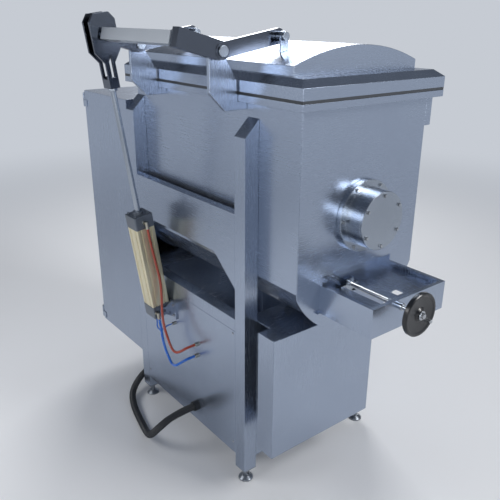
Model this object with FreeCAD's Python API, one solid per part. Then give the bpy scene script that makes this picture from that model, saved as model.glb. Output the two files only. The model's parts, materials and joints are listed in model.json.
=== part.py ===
"""Meat mixer: one-shaft paddle trough on four legs, air-powered lid, screw-driven discharge door."""
import FreeCAD
import Part
import math
import os

V = FreeCAD.Vector
X_AXIS = V(1, 0, 0)
Y_AXIS = V(0, 1, 0)
Z_AXIS = V(0, 0, 1)

# Lengths are in millimetres. The model is laid out from the outer face of the discharge end wall
# (x = 0), the outer face of the lid-arm side wall (y = 0) and the floor (z = 0).
# save() then moves every piece so that the origin is on the floor under the middle of the machine.

# Trough
TROUGH_LENGTH = 1040.0
TROUGH_WIDTH = 600.0
SHEET = 3.0
RIM_ABOVE_SHAFT = 409.0
RIM_EDGE = 23.0
RIM_OVERHANG = 38.0
JACKET_MARGIN = 20.0
JACKET_DROP = 104.0
SKIN_OVERLAP = 14.0
END_WALL_LIP = 12.0
END_CAVITY = 77.0
STIFFENER_DEPTH = 32.0
STIFFENER_HEIGHT = 105.0

# Frame
TUBE = 60.0
TUBE_WALL = 3.0
RIGHT_LEG_INSET = 240.0
LEFT_LEG_INSET = 25.0
LEG_BOTTOM = 60.0
LEG_TOP_DROP = 134.0
RAIL = 50.0
RAIL_TOP = 735.0
SHAFT_RISE = 112.0
LOW_RAIL_BOTTOM = 118.0
SEAM = 1.0
APRON_DROP = 406.0
APRON_HEIGHT = 180.0
APRON_FLANGE = 36.0
GUSSET_WIDTH = 131.0
GUSSET_DROP = 110.0
DECK_WIDTH = 95.0
FOOT_RADIUS = 30.0
FOOT_STUD_RADIUS = 9.0
FOOT_PLATE = 4.0
FOOT_PAD = 12.0
FOOT_PLUG = 24.0
FOOT_NUT = 27.0
SCREW_HEAD = 2.5
SCREW_HEAD_RADIUS = 5.0
SCREW_INSET = 14.0

# Control cabinet
CABINET_DEPTH = 88.0
CABINET_FACE_X = -50.0
CABINET_NEAR_Y = -53.0
CABINET_SIDE_GAP = 75.0
CABINET_BOTTOM = 230.0
CABINET_SHEET = 2.0
CABINET_BAR = 40.0
CABINET_BAR_NEAR_Y = 30.0
CABINET_BAR_FAR_GAP = 160.0

# Drive housing
HOUSING_LENGTH = 425.0
HOUSING_BOTTOM = 245.0
HOUSING_TOP_DROP = 96.0
HOUSING_SHEET = 2.0
WINDOW_NEAR_Y = 40.0
WINDOW_DROP = 35.0
WINDOW_RISE = 180.0
DOOR_GAP = 0.5
DOOR_FOLD = 14.0
LATCH_REACH = 20.0
HINGE_OFFSET = 9.0
HINGE_INSET = 12.0
LEAF_REACH = 26.0
LEAF_THICKNESS = 3.0
KNUCKLE_RADIUS = 6.0
KNUCKLE_LENGTH = 30.0
HINGE_PIN_RADIUS = 3.0

# Agitator
SHAFT_RADIUS = 30.0
SHAFT_RIGHT_X = 70.0
SHAFT_LEFT_REACH = 150.0
BLADE_GAP = 9.0
ARM_RADIUS = 14.0
ARM_COUNT = 6
ARM_MARGIN_LEFT = 80.0
ARM_MARGIN_RIGHT = 100.0
SLEEVE_LENGTH = 56.0
SLEEVE_WALL = 10.0
BLADE_LENGTH = 130.0
BLADE_HEIGHT = 55.0
BLADE_THICKNESS = 10.0
BLADE_CORNER = 18.0
BLADE_ANGLE = 35.0
RUNNING_GAP = 0.05

# Bearings
FLANGE_RADIUS = 130.0
FLANGE_THICKNESS = 20.0
BARREL_RADIUS = 104.0
BEARING_REACH = 92.0
COVER_THICKNESS = 8.0
COVER_CHAMFER = 1.5
BEARING_RADIUS = 55.0
BEARING_DEPTH = 26.0
SHAFT_HOLE_GAP = 5.0
SEAL_WIDTH = 8.0
DRIVE_FLANGE_RADIUS = 95.0
BOLT_HEAD = 13.0
DRIVE_BOLT_HEAD = 16.0

# Gear motor
REDUCER_GAP = 40.0
REDUCER_WIDTH = 210.0
REDUCER_LENGTH = 100.0
REDUCER_RIB = 50.0
REDUCER_RIB_REACH = 6.0
ADAPTOR_HEIGHT = 24.0
BOSS_WALL = 22.0
BOSS_REACH = 12.0
MOTOR_RADIUS = 90.0
MOTOR_LENGTH = 270.0
MOTOR_CORE_DROP = 12.0
MOTOR_SHIELD = 14.0
FIN_COUNT = 16
FIN_THICKNESS = 4.0
TERMINAL_WIDTH = 90.0
TERMINAL_HEIGHT = 100.0
TERMINAL_REACH = 45.0
COWL_LENGTH = 60.0
COWL_WALL = 6.0
COWL_SLOT = 10.0
COWL_SLOT_PITCH = 24.0
TORQUE_ROD_RADIUS = 9.0
TORQUE_DROP = 60.0
TORQUE_LUG = 40.0
TORQUE_PLATE = 12.0

# Discharge
CHUTE_LENGTH = 242.0
CHUTE_WIDTH = 378.0
CHUTE_OFFSET = 4.0
CHUTE_LIP = 12.0
FOOT_LIP = 14.0
SCREW_OFFSET = 72.0
SCREW_ABOVE_LINER = 59.0
CHUTE_ABOVE_SCREW = 16.0
CHUTE_BELOW_SCREW = 90.0
COVER_BELOW_SCREW = 8.0
PORT_BELOW_SCREW = 20.0
NICHE_DEPTH = 57.0
NICHE_ABOVE_SCREW = 45.0
PORT_STEP = 6.0
DOOR_THICKNESS = 8.0
DOOR_CLEARANCE = 0.6
DOOR_BAR = 24.0
DOOR_BAR_HEIGHT = 12.0
DOOR_RIB = 180.0
SCREW_RADIUS = 8.0
JOURNAL_RADIUS = 6.0
SLOT_WIDTH = 50.0
NUT_LENGTH = 30.0
NUT_WIDTH = 38.0
NUT_WINGS = 88.0
NUT_NECK = 4.0
WING_THICKNESS = 7.0
NUT_X = 0.0
WHEEL_X = 318.0
WHEEL_RADIUS = 75.0
WHEEL_THICKNESS = 20.0
WHEEL_NUT = 12.0
WHEEL_HUB_RADIUS = 18.0
GRIP_RADIUS = 7.0
BEARING_BLOCK = 22.0
BEARING_BLOCK_WIDTH = 40.0
BEARING_NOSE = 16.0
BEARING_NOSE_WALL = 4.0
SIGHT_HOLE_X = 150.0
SIGHT_HOLE = 34.0

# Lid
GASKET = 9.0
GASKET_GAP = 0.3
GASKET_WIDTH = 20.0
LID_SHEET = 2.5
SKIRT = 37.0
BEVEL_INSET = 30.0
BEVEL_HEIGHT = 23.0
CROWN_MARGIN = 60.0
CROWN_INSET = 10.0
CROWN_SIDE = 31.0
CROWN_RISE = 56.0

# Lid arms
HINGE_Y = -125.0
HINGE_ABOVE_RIM = 139.0
RIGHT_CRANK_INSET = 16.0
LEFT_CRANK_INSET = 237.0
HUB_RADIUS = 26.0
HUB_LENGTH = 40.0
HINGE_SHAFT_RADIUS = 12.0
HINGE_END = 6.0
HINGE_NUT = 36.0
ARM_REACH = 235.0
ARM_RISE = 40.0
ARM_THICKNESS = 14.0
ARM_HEIGHT = 50.0
ARM_END_RADIUS = 25.0
ARM_PIN_RADIUS = 8.0
PIN_HEAD = 8.0
PIN_HEAD_RADIUS = 15.0
BUSH_RADIUS = 16.0
LEVER_REACH = 134.0
LEVER_RISE = 37.0
LEVER_WIDTH = 36.0
LEVER_HEIGHT = 58.0
LEVER_WALL = 4.0
LEVER_TIP = 27.0
FORK_LEAD = 11.7
FORK_DIP = 2.15
SLOT_HALF = 21.0
SLOT_HALF_HEIGHT = 12.0
BRACKET_THICKNESS = 15.0
BRACKET_EDGE_Y = -150.0
BRACKET_DROP = 51.0
BRACKET_CORNER = 60.0
BRACKET_CLEARANCE = 6.0
BUSH_LENGTH = 22.0
EAR_THICKNESS = 8.0
EAR_RADIUS = 17.0
TIE_TUBE = 40.0

# Lid cylinder
PIVOT_Y = -106.0
PIVOT_DROP = 135.0
CYLINDER_WIDTH = 84.0
CAP_LENGTH = 56.0
CAP_CORNER = 6.0
CAP_SCREW_RADIUS = 6.5
CAP_SCREW_HEIGHT = 6.0
CAP_SCREW_INSET = 13.0
ROD_GLAND_RADIUS = 22.0
ROD_GLAND_LENGTH = 12.0
BARREL_LENGTH = 364.0
GROOVE_HALF = 2.5
GROOVE_DEPTH = 4.0
GROOVE_OFFSET = 22.0
ROD_RADIUS = 11.0
ROD_NUT = 32.0
PISTON_RADIUS = 31.0
PISTON_LENGTH = 24.0
PISTON_DROP = 60.0
TRUNNION_RADIUS = 10.0
FITTING_REACH = 15.0
FITTING_DROP = 22.0
FITTING_RADIUS = 7.5
FITTING_NECK_RADIUS = 5.0
FITTING_HEX = 17.0
BANJO_OFFSET = 30.0
CHEEK = 10.0
CHEEK_GAP = 1.0
CHEEK_HALF = 40.0
CHEEK_EYE = 18.0
PAD_REACH = 34.0
PAD_THICKNESS = 7.0
PAD_SCREW_RADIUS = 7.0
FORK_GAP = 40.0
FORK_CHEEK = 10.0
FORK_REACH = 56.5
FORK_HALF = 50.0
FORK_TOP = 72.0
FORK_TOP_HALF = 30.0
FORK_NECK_HALF = 19.0
FORK_DROP = 190.0
FORK_BASE = 34.0
CROSS_SHAFT_RADIUS = 8.0
COLLAR_WIDTH = 12.0

# Hoses and conduit
HOSE_RADIUS = 5.5
SMALL_HOSE_RADIUS = 3.0
CONDUIT_RADIUS = 16.0
CONDUIT_OFFSET = 232.0
CONDUIT_HEIGHT = 200.0
MAINS_Y = 380.0
GLAND_LENGTH = 24.0
GLAND_WALL = 6.0
GLAND_THREAD = 12.5
MAINS_BORE = 8.0
HOUSING_GLAND_INSET = 75.0
HOUSING_GLAND_Y = 30.0
RED_UNION = (237.0, -95.0)
BLUE_UNION = (235.0, -150.0)
SHORT_UNION = (57.0, -71.0)
UNION_LENGTH = 12.0
UNION_RADIUS = 9.0
SMALL_UNION_RADIUS = 7.0

# Worked out from the sizes above
MID_Y = TROUGH_WIDTH / 2
FAR_Y = TROUGH_WIDTH
JACKET_RADIUS = MID_Y + JACKET_MARGIN
SHAFT_HEIGHT = RAIL_TOP + MID_Y + SHAFT_RISE
RIM_TOP = SHAFT_HEIGHT + RIM_ABOVE_SHAFT
RIM_BOTTOM = RIM_TOP - RIM_EDGE
JACKET_HEIGHT = SHAFT_HEIGHT - JACKET_DROP
SIDE_SKIN_BOTTOM = JACKET_HEIGHT - math.sqrt(JACKET_RADIUS ** 2 - MID_Y ** 2) - SKIN_OVERLAP
LINER_RADIUS = MID_Y - 2 * SHEET
LEG_TOP = RIM_TOP - LEG_TOP_DROP
LEG_FAR_Y = FAR_Y + TUBE
RIGHT_LEG_X = -RIGHT_LEG_INSET
LEFT_LEG_X = -TROUGH_LENGTH + LEFT_LEG_INSET
LEFT_LEG_FACE = LEFT_LEG_X - TUBE / 2
RIGHT_LEG_FACE = RIGHT_LEG_X + TUBE / 2
INNER_LEFT = LEFT_LEG_X + TUBE / 2
INNER_RIGHT = RIGHT_LEG_X - TUBE / 2
PANEL_TOP = RAIL_TOP - RAIL - SEAM
APRON_TOP = RIM_TOP - APRON_DROP
CABINET_BACK_X = CABINET_FACE_X - CABINET_DEPTH
CABINET_FAR_Y = CABINET_NEAR_Y + TROUGH_WIDTH - CABINET_SIDE_GAP
INNER_END_X = -SHEET - END_CAVITY
INNER_START_X = -TROUGH_LENGTH - INNER_END_X
HOUSING_LEFT = LEFT_LEG_FACE - HOUSING_LENGTH
HOUSING_TOP = RIM_TOP - HOUSING_TOP_DROP
HINGE_LINE_X = HOUSING_LEFT - HINGE_OFFSET
SHAFT_LEFT_X = -TROUGH_LENGTH - SHAFT_LEFT_REACH
REDUCER_RIGHT_X = -TROUGH_LENGTH - FLANGE_THICKNESS - REDUCER_GAP
REDUCER_LEFT_X = REDUCER_RIGHT_X - REDUCER_LENGTH
MOTOR_X = (REDUCER_LEFT_X + REDUCER_RIGHT_X) / 2
REDUCER_BOTTOM = SHAFT_HEIGHT - 0.85 * REDUCER_WIDTH
MOTOR_TOP = REDUCER_BOTTOM - ADAPTOR_HEIGHT
SCREW_Y = MID_Y - SCREW_OFFSET
SCREW_HEIGHT = SHAFT_HEIGHT - LINER_RADIUS + SCREW_ABOVE_LINER
CHUTE_MID_Y = MID_Y - CHUTE_OFFSET
CHUTE_NEAR_Y = CHUTE_MID_Y - CHUTE_WIDTH / 2
CHUTE_FAR_Y = CHUTE_MID_Y + CHUTE_WIDTH / 2
CHUTE_TOP = SCREW_HEIGHT + CHUTE_ABOVE_SCREW
CHUTE_BOTTOM = SCREW_HEIGHT - CHUTE_BELOW_SCREW
COVER_TOP = SCREW_HEIGHT - COVER_BELOW_SCREW
PORT_TOP = SCREW_HEIGHT - PORT_BELOW_SCREW
NICHE_TOP = SCREW_HEIGHT + NICHE_ABOVE_SCREW
PORT_RADIUS = LINER_RADIUS - PORT_STEP
SIGHT_HOLE_Y = SCREW_Y + SCREW_OFFSET
LID_BOTTOM = RIM_TOP + GASKET
DECK_HEIGHT = LID_BOTTOM + SKIRT + BEVEL_HEIGHT
CROWN_WIDTH = TROUGH_WIDTH - 2 * CROWN_INSET
HINGE_HEIGHT = RIM_TOP + HINGE_ABOVE_RIM
BRACKET_BOTTOM = RIM_TOP - BRACKET_DROP
RIGHT_CRANK_X = RIGHT_LEG_X - RIGHT_CRANK_INSET
LEFT_CRANK_X = LEFT_LEG_X + LEFT_CRANK_INSET
PIVOT_HEIGHT = RAIL_TOP - PIVOT_DROP
LEVER_LENGTH = math.hypot(LEVER_REACH, LEVER_RISE)
LEVER_SLOPE = math.atan2(LEVER_RISE, LEVER_REACH)
FORK_ARM = LEVER_LENGTH + FORK_LEAD
FORK_PIN_Y = HINGE_Y - FORK_ARM * math.cos(LEVER_SLOPE) - FORK_DIP * math.sin(LEVER_SLOPE)
FORK_PIN_Z = HINGE_HEIGHT + FORK_ARM * math.sin(LEVER_SLOPE) - FORK_DIP * math.cos(LEVER_SLOPE)
STROKE_LENGTH = math.hypot(FORK_PIN_Y - PIVOT_Y, FORK_PIN_Z - PIVOT_HEIGHT)
LEAN = math.degrees(math.atan2(PIVOT_Y - FORK_PIN_Y, FORK_PIN_Z - PIVOT_HEIGHT))
CONDUIT_X = LEFT_CRANK_X + CONDUIT_OFFSET
HOUSING_GLAND_X = LEFT_LEG_X - HOUSING_GLAND_INSET
X_LOW = HOUSING_LEFT - DOOR_GAP - DOOR_FOLD - LATCH_REACH
X_HIGH = WHEEL_X + WHEEL_THICKNESS + WHEEL_NUT
Y_LOW = FORK_PIN_Y - FORK_REACH
Y_HIGH = LEG_FAR_Y + SCREW_HEAD
SHIFT = V(-(X_LOW + X_HIGH) / 2, -(Y_LOW + Y_HIGH) / 2, 0)


def box(x0, x1, y0, y1, z0, z1):
    return Part.makeBox(x1 - x0, y1 - y0, z1 - z0, V(x0, y0, z0))


def rod_x(x0, x1, y, z, r):
    return Part.makeCylinder(r, x1 - x0, V(x0, y, z), X_AXIS)


def rod_y(y0, y1, x, z, r):
    return Part.makeCylinder(r, y1 - y0, V(x, y0, z), Y_AXIS)


def rod_z(z0, z1, x, y, r):
    return Part.makeCylinder(r, z1 - z0, V(x, y, z0), Z_AXIS)


def prism_x(points, x0, x1):
    """Extrude a closed (y, z) outline from x0 to x1."""
    corners = [V(x0, y, z) for y, z in points]
    face = Part.Face(Part.makePolygon(corners + corners[:1]))
    return face.extrude(V(x1 - x0, 0, 0))


def prism_y(points, y0, y1):
    """Extrude a closed (x, z) outline from y0 to y1."""
    corners = [V(x, y0, z) for x, z in points]
    face = Part.Face(Part.makePolygon(corners + corners[:1]))
    return face.extrude(V(0, y1 - y0, 0))


def join(shapes):
    result = shapes[0]
    for shape in shapes[1:]:
        result = result.fuse(shape)
    return result.removeSplitter()


def cut(shape, tools):
    for tool in tools:
        shape = shape.cut(tool)
    return shape


def group(shapes):
    """Several separate solids kept in one piece list."""
    return Part.makeCompound(shapes)


def mirror_y(shape):
    """The same piece on the far side of the trough."""
    return shape.mirror(V(0, MID_Y, 0), Y_AXIS)


def hex_x(x0, x1, y, z, across):
    radius = across / math.sqrt(3)
    turns = [math.radians(60 * k) for k in range(6)]
    return prism_x([(y + radius * math.cos(a), z + radius * math.sin(a)) for a in turns], x0, x1)


def hex_z(z0, z1, x, y, across):
    radius = across / math.sqrt(3)
    corners = [V(x + radius * math.cos(math.radians(60 * k)), y + radius * math.sin(math.radians(60 * k)), z0)
               for k in range(6)]
    face = Part.Face(Part.makePolygon(corners + corners[:1]))
    return face.extrude(V(0, 0, z1 - z0))


def ring_bolts(x, radius, count, head, y=MID_Y, z=SHAFT_HEIGHT, start=0.0):
    """Hexagon heads standing on a face at x, evenly spaced round the shaft line."""
    heads = []
    for k in range(count):
        a = math.radians(start + 360.0 * k / count)
        heads.append(hex_x(x, x + 0.5 * head, y + radius * math.cos(a), z + radius * math.sin(a), head))
    return heads


# Frame

def leg(x, near):
    x0 = x - TUBE / 2
    outer = prism_x([(-TUBE, LEG_BOTTOM), (0, LEG_BOTTOM), (0, LEG_TOP + TUBE), (-TUBE, LEG_TOP)], x0, x0 + TUBE)
    w = TUBE_WALL
    drop = w * math.sqrt(2)
    inner = prism_x([(-TUBE + w, LEG_BOTTOM - 1), (-w, LEG_BOTTOM - 1), (-w, LEG_TOP + TUBE - w - drop),
                     (-TUBE + w, LEG_TOP + w - drop)], x0 + w, x0 + TUBE - w)
    tube = outer.cut(inner)
    return tube if near else mirror_y(tube)


def legs():
    return group([leg(x, near) for x in (RIGHT_LEG_X, LEFT_LEG_X) for near in (True, False)])


def foot(x, y):
    inner = TUBE / 2 - TUBE_WALL
    half = TUBE / 2
    under = LEG_BOTTOM - FOOT_PLATE
    plug = box(x - inner, x + inner, y - inner, y + inner, LEG_BOTTOM, LEG_BOTTOM + FOOT_PLUG)
    plate = box(x - half, x + half, y - half, y + half, under, LEG_BOTTOM)
    stud = rod_z(FOOT_PAD, LEG_BOTTOM, x, y, FOOT_STUD_RADIUS)
    nut = hex_z(under - FOOT_PLUG / 2, under, x, y, FOOT_NUT)
    disc = rod_z(0, 0.5 * FOOT_PAD, x, y, FOOT_RADIUS)
    cone = Part.makeCone(FOOT_RADIUS, 0.5 * FOOT_RADIUS, 0.9 * FOOT_PAD, V(x, y, 0.5 * FOOT_PAD), Z_AXIS)
    return join([plug, plate, stud, nut, disc, cone])


def levelling_feet():
    return group([foot(x, y) for x in (RIGHT_LEG_X, LEFT_LEG_X) for y in (-TUBE / 2, FAR_Y + TUBE / 2)])


def tube_x(x0, x1, y0, z0, size, wall):
    outer = box(x0, x1, y0, y0 + size, z0, z0 + size)
    return outer.cut(box(x0 - 1, x1 + 1, y0 + wall, y0 + size - wall, z0 + wall, z0 + size - wall))


def tube_y(y0, y1, x0, z0, size, wall):
    outer = box(x0, x0 + size, y0, y1, z0, z0 + size)
    return outer.cut(box(x0 + wall, x0 + size - wall, y0 - 1, y1 + 1, z0 + wall, z0 + size - wall))


def jacket_bar(x0, x1, radius):
    return rod_x(x0, x1, MID_Y, JACKET_HEIGHT, radius)


def long_rails():
    near_top = tube_x(INNER_LEFT, INNER_RIGHT, -TUBE, RAIL_TOP - RAIL, RAIL, TUBE_WALL)
    near_low = tube_x(INNER_LEFT, INNER_RIGHT, -TUBE + SHEET, LOW_RAIL_BOTTOM, RAIL, TUBE_WALL)
    return group([near_top, near_low, mirror_y(near_top), mirror_y(near_low)])


def cross_rails():
    belly = jacket_bar(LEFT_LEG_FACE - 1, RIGHT_LEG_FACE + 1, JACKET_RADIUS)
    lip = jacket_bar(LEFT_LEG_FACE - 1, SHEET + DOOR_GAP - TROUGH_LENGTH, JACKET_RADIUS + END_WALL_LIP + DOOR_GAP)
    saddle = belly.fuse(lip)
    rails = []
    for x0 in (LEFT_LEG_FACE + SHEET, RIGHT_LEG_FACE - SHEET - RAIL):
        rails.append(tube_y(0, FAR_Y, x0, RAIL_TOP - RAIL, RAIL, TUBE_WALL).cut(saddle))
        rails.append(tube_y(0, FAR_Y, x0, LOW_RAIL_BOTTOM, RAIL, TUBE_WALL))
    return group(rails)


def side_panels():
    plain = box(INNER_LEFT + SEAM, INNER_RIGHT - SEAM, -TUBE, -TUBE + SHEET, LOW_RAIL_BOTTOM, PANEL_TOP)
    hole = rod_y(-TUBE - 1, -TUBE + SHEET + 1, CONDUIT_X, CONDUIT_HEIGHT, CONDUIT_RADIUS + 1)
    return group([plain.cut(hole), mirror_y(plain)])


def end_panels():
    left = box(LEFT_LEG_FACE, LEFT_LEG_FACE + SHEET, SEAM, FAR_Y - SEAM, LOW_RAIL_BOTTOM, PANEL_TOP)
    right = box(RIGHT_LEG_FACE - SHEET, RIGHT_LEG_FACE, SEAM, FAR_Y - SEAM, LOW_RAIL_BOTTOM, PANEL_TOP)
    return group([left, right])


def panel_screws():
    heads = []
    for x in (INNER_LEFT + SCREW_INSET, INNER_RIGHT - SCREW_INSET):
        for z in (LOW_RAIL_BOTTOM + RAIL, PANEL_TOP - SCREW_INSET):
            heads.append(rod_y(-TUBE - SCREW_HEAD, -TUBE, x, z, SCREW_HEAD_RADIUS))
            heads.append(rod_y(LEG_FAR_Y, LEG_FAR_Y + SCREW_HEAD, x, z, SCREW_HEAD_RADIUS))
    return group(heads)


def deck_plates():
    belly = jacket_bar(LEFT_LEG_FACE, CABINET_FACE_X, JACKET_RADIUS)
    left = box(INNER_LEFT, INNER_LEFT + DECK_WIDTH, -TUBE + RAIL, LEG_FAR_Y - RAIL, RAIL_TOP - SHEET, RAIL_TOP)
    right = box(RIGHT_LEG_FACE - SHEET, CABINET_BACK_X, 0, FAR_Y, RAIL_TOP - SHEET, RAIL_TOP)
    return group([left.cut(belly), right.cut(belly)])


def apron():
    low = APRON_TOP - APRON_HEIGHT
    plate = prism_y([(INNER_LEFT, APRON_TOP), (INNER_RIGHT, APRON_TOP), (INNER_RIGHT, low - GUSSET_DROP),
                     (INNER_RIGHT - GUSSET_WIDTH, low), (INNER_LEFT + GUSSET_WIDTH, low),
                     (INNER_LEFT, low - GUSSET_DROP)], -TUBE, -TUBE + SHEET)
    flange = box(INNER_LEFT, INNER_RIGHT, -TUBE, -TUBE + APRON_FLANGE, APRON_TOP - SHEET, APRON_TOP)
    return join([plate, flange])


def aprons():
    near = apron()
    return group([near, mirror_y(near)])


# Control cabinet on the discharge end

def cabinet_block(x0, x1, inset):
    """Full height of the cabinet between x0 and x1, shrunk by inset at its sides, top and bottom."""
    return box(x0, x1, CABINET_NEAR_Y + inset, CABINET_FAR_Y - inset, CABINET_BOTTOM + inset, RAIL_TOP - inset)


def control_cabinet():
    s = CABINET_SHEET
    shell = cabinet_block(CABINET_BACK_X, CABINET_FACE_X - s, 0)
    shell = shell.cut(cabinet_block(CABINET_BACK_X + s, CABINET_FACE_X, s))
    gland_hole = rod_z(CABINET_BOTTOM - 1, CABINET_BOTTOM + s + 1, mains_gland_x(), MAINS_Y, GLAND_THREAD)
    return cut(shell, [gland_hole, belly_recess()])


def belly_recess():
    """Room in the top of the cabinet for the round bottom of the trough."""
    return jacket_bar(-TROUGH_LENGTH, 0, JACKET_RADIUS + GASKET_GAP)


def cabinet_cover():
    return cabinet_block(CABINET_FACE_X - CABINET_SHEET, CABINET_FACE_X, 0).cut(belly_recess())


def cabinet_brackets():
    """Two channels between the frame's end panel and the back of the cabinet."""
    y0, y1 = CABINET_BAR_NEAR_Y, FAR_Y - CABINET_BAR_FAR_GAP
    bars = []
    for z in (CABINET_BOTTOM + 1.5 * CABINET_BAR, RAIL_TOP - 2.75 * CABINET_BAR):
        outer = box(RIGHT_LEG_FACE, CABINET_BACK_X, y0, y1, z, z + CABINET_BAR)
        hollow = box(RIGHT_LEG_FACE + SHEET, CABINET_BACK_X - SHEET, y0 - 1, y1 + 1, z + SHEET, z + CABINET_BAR - SHEET)
        bars.append(outer.cut(hollow))
    return group(bars)


# Trough

def end_wall_outline(radius, x0, x1):
    """Plate with square shoulders and a round bottom."""
    body = box(x0, x1, 0, FAR_Y, JACKET_HEIGHT - radius, RIM_BOTTOM + RIM_EDGE - SHEET)
    round_part = jacket_bar(x0, x1, radius)
    upper = box(x0, x1, 0, FAR_Y, JACKET_HEIGHT, RIM_TOP - SHEET)
    return join([body.common(round_part), upper])


def port_outline(radius, top, x0, x1):
    """Segment below top of the circle round the shaft line."""
    return rod_x(x0, x1, MID_Y, SHAFT_HEIGHT, radius).common(
        box(x0, x1, 0, FAR_Y, SHAFT_HEIGHT - radius - 1, top))


def niche_box(grow):
    """Open pocket over the chute cover, let into the end wall."""
    half = CHUTE_WIDTH / 2 - CHUTE_LIP
    return box(-NICHE_DEPTH - grow, 0, CHUTE_MID_Y - half - grow, CHUTE_MID_Y + half + grow,
               COVER_TOP - grow, NICHE_TOP + grow)


def discharge_end_wall():
    wall = end_wall_outline(JACKET_RADIUS + END_WALL_LIP, -SHEET, 0)
    port = port_outline(PORT_RADIUS + SHEET, PORT_TOP + SHEET, -SHEET - 1, 1)
    shaft_hole = rod_x(-SHEET - 1, 1, MID_Y, SHAFT_HEIGHT, BEARING_RADIUS + SHAFT_HOLE_GAP)
    return cut(wall, [port, niche_box(SHEET), shaft_hole, screw_slot(-SHEET - 1, 1)])


def screw_slot(x0, x1):
    return box(x0, x1, SCREW_Y - SLOT_WIDTH / 2, SCREW_Y + SLOT_WIDTH / 2, PORT_TOP + SHEET, COVER_TOP)


def port_frame():
    """Sleeve round the discharge port with the open niche above it."""
    sleeve = port_outline(PORT_RADIUS + SHEET, PORT_TOP + SHEET, INNER_END_X, 0)
    sleeve = sleeve.cut(port_outline(PORT_RADIUS, PORT_TOP, INNER_END_X - 1, 1))
    niche = niche_box(SHEET).cut(niche_box(0).fuse(niche_box(0).translated(V(SHEET, 0, 0))))
    web = box(-NICHE_DEPTH - SHEET, -NICHE_DEPTH, SCREW_Y - NUT_WIDTH, SCREW_Y + NUT_WIDTH,
              PORT_TOP + SHEET, COVER_TOP - SHEET)
    slot = screw_slot(-NICHE_DEPTH, 1)
    journal = rod_x(-NICHE_DEPTH - SHEET - 1, -NICHE_DEPTH + 1, SCREW_Y, SCREW_HEIGHT, JOURNAL_RADIUS + RUNNING_GAP)
    return cut(join([sleeve, niche, web]), [slot, journal])


def drive_end_wall():
    wall = end_wall_outline(JACKET_RADIUS + END_WALL_LIP, -TROUGH_LENGTH, -TROUGH_LENGTH + SHEET)
    hole = rod_x(-TROUGH_LENGTH - 1, -TROUGH_LENGTH + SHEET + 1, MID_Y, SHAFT_HEIGHT, BEARING_RADIUS + SHAFT_HOLE_GAP)
    return wall.cut(hole)


def jacket():
    x0, x1 = -TROUGH_LENGTH + SHEET, -SHEET
    belly = jacket_bar(x0, x1, JACKET_RADIUS).cut(jacket_bar(x0 - 1, x1 + 1, JACKET_RADIUS - SHEET))
    low = JACKET_HEIGHT - JACKET_RADIUS - 1
    belly = belly.common(box(x0, x1, SHEET, FAR_Y - SHEET, low, SIDE_SKIN_BOTTOM + 1.5 * SKIN_OVERLAP))
    near = box(x0, x1, 0, SHEET, SIDE_SKIN_BOTTOM, RIM_TOP - SHEET)
    return join([belly, near, mirror_y(near)])


def liner_outline(radius, x0, x1):
    round_part = rod_x(x0, x1, MID_Y, SHAFT_HEIGHT, radius)
    upper = box(x0, x1, MID_Y - radius, MID_Y + radius, SHAFT_HEIGHT, RIM_TOP - SHEET)
    return join([round_part, upper])


def liner():
    x0, x1 = INNER_START_X, INNER_END_X
    mouth = box(x0 - 1, x1 + 1, MID_Y - LINER_RADIUS, MID_Y + LINER_RADIUS, SHAFT_HEIGHT, RIM_TOP)
    hollow = liner_outline(LINER_RADIUS, x0 - 1, x1 + 1).fuse(mouth)
    return liner_outline(LINER_RADIUS + SHEET, x0, x1).cut(hollow)


def liner_ends():
    port = port_outline(PORT_RADIUS, PORT_TOP, INNER_END_X - 1, INNER_END_X + SHEET + 1)
    bore = rod_x(-TROUGH_LENGTH, 0, MID_Y, SHAFT_HEIGHT, SHAFT_RADIUS + SEAL_WIDTH)
    right = liner_outline(LINER_RADIUS, INNER_END_X - SHEET, INNER_END_X).cut(bore)
    right = right.cut(port.translated(V(-SHEET, 0, 0)))
    left = liner_outline(LINER_RADIUS, INNER_START_X, INNER_START_X + SHEET).cut(bore)
    return group([left, right])


def shaft_seals():
    seals = []
    for x0 in (INNER_START_X, INNER_END_X - SHEET):
        ring = rod_x(x0, x0 + SHEET, MID_Y, SHAFT_HEIGHT, SHAFT_RADIUS + SEAL_WIDTH)
        seals.append(ring.cut(rod_x(x0 - 1, x0 + SHEET + 1, MID_Y, SHAFT_HEIGHT, SHAFT_RADIUS + RUNNING_GAP)))
    return group(seals)


def trough_rim():
    o = RIM_OVERHANG
    plate = box(-TROUGH_LENGTH - o, o, -o, FAR_Y + o, RIM_TOP - SHEET, RIM_TOP)
    skirt = box(-TROUGH_LENGTH - o, o, -o, FAR_Y + o, RIM_BOTTOM, RIM_TOP - SHEET)
    skirt = skirt.cut(box(-TROUGH_LENGTH - o + SHEET, o - SHEET, -o + SHEET, FAR_Y + o - SHEET, 0, RIM_TOP))
    mouth = box(INNER_START_X + SHEET, INNER_END_X - SHEET, MID_Y - LINER_RADIUS, MID_Y + LINER_RADIUS, 0, RIM_TOP + 1)
    return join([plate.cut(mouth), skirt])


def rear_stiffener():
    """Lipped channel along the far side, under the rim."""
    y0, y1 = FAR_Y, FAR_Y + STIFFENER_DEPTH
    z0 = RIM_BOTTOM - STIFFENER_HEIGHT
    outer = box(-TROUGH_LENGTH, 0, y0, y1, z0, RIM_BOTTOM)
    hollow = box(-TROUGH_LENGTH + SHEET, -SHEET, y0 - 1, y1 - SHEET, z0 + SHEET, RIM_BOTTOM + 1)
    notch = [box(x - TUBE / 2, x + TUBE / 2, y0 - 1, y1 + 1, z0 - 1, LEG_TOP + TUBE + 1)
             for x in (RIGHT_LEG_X, LEFT_LEG_X)]
    return cut(outer.cut(hollow), notch)


# Shaft bearings

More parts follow.
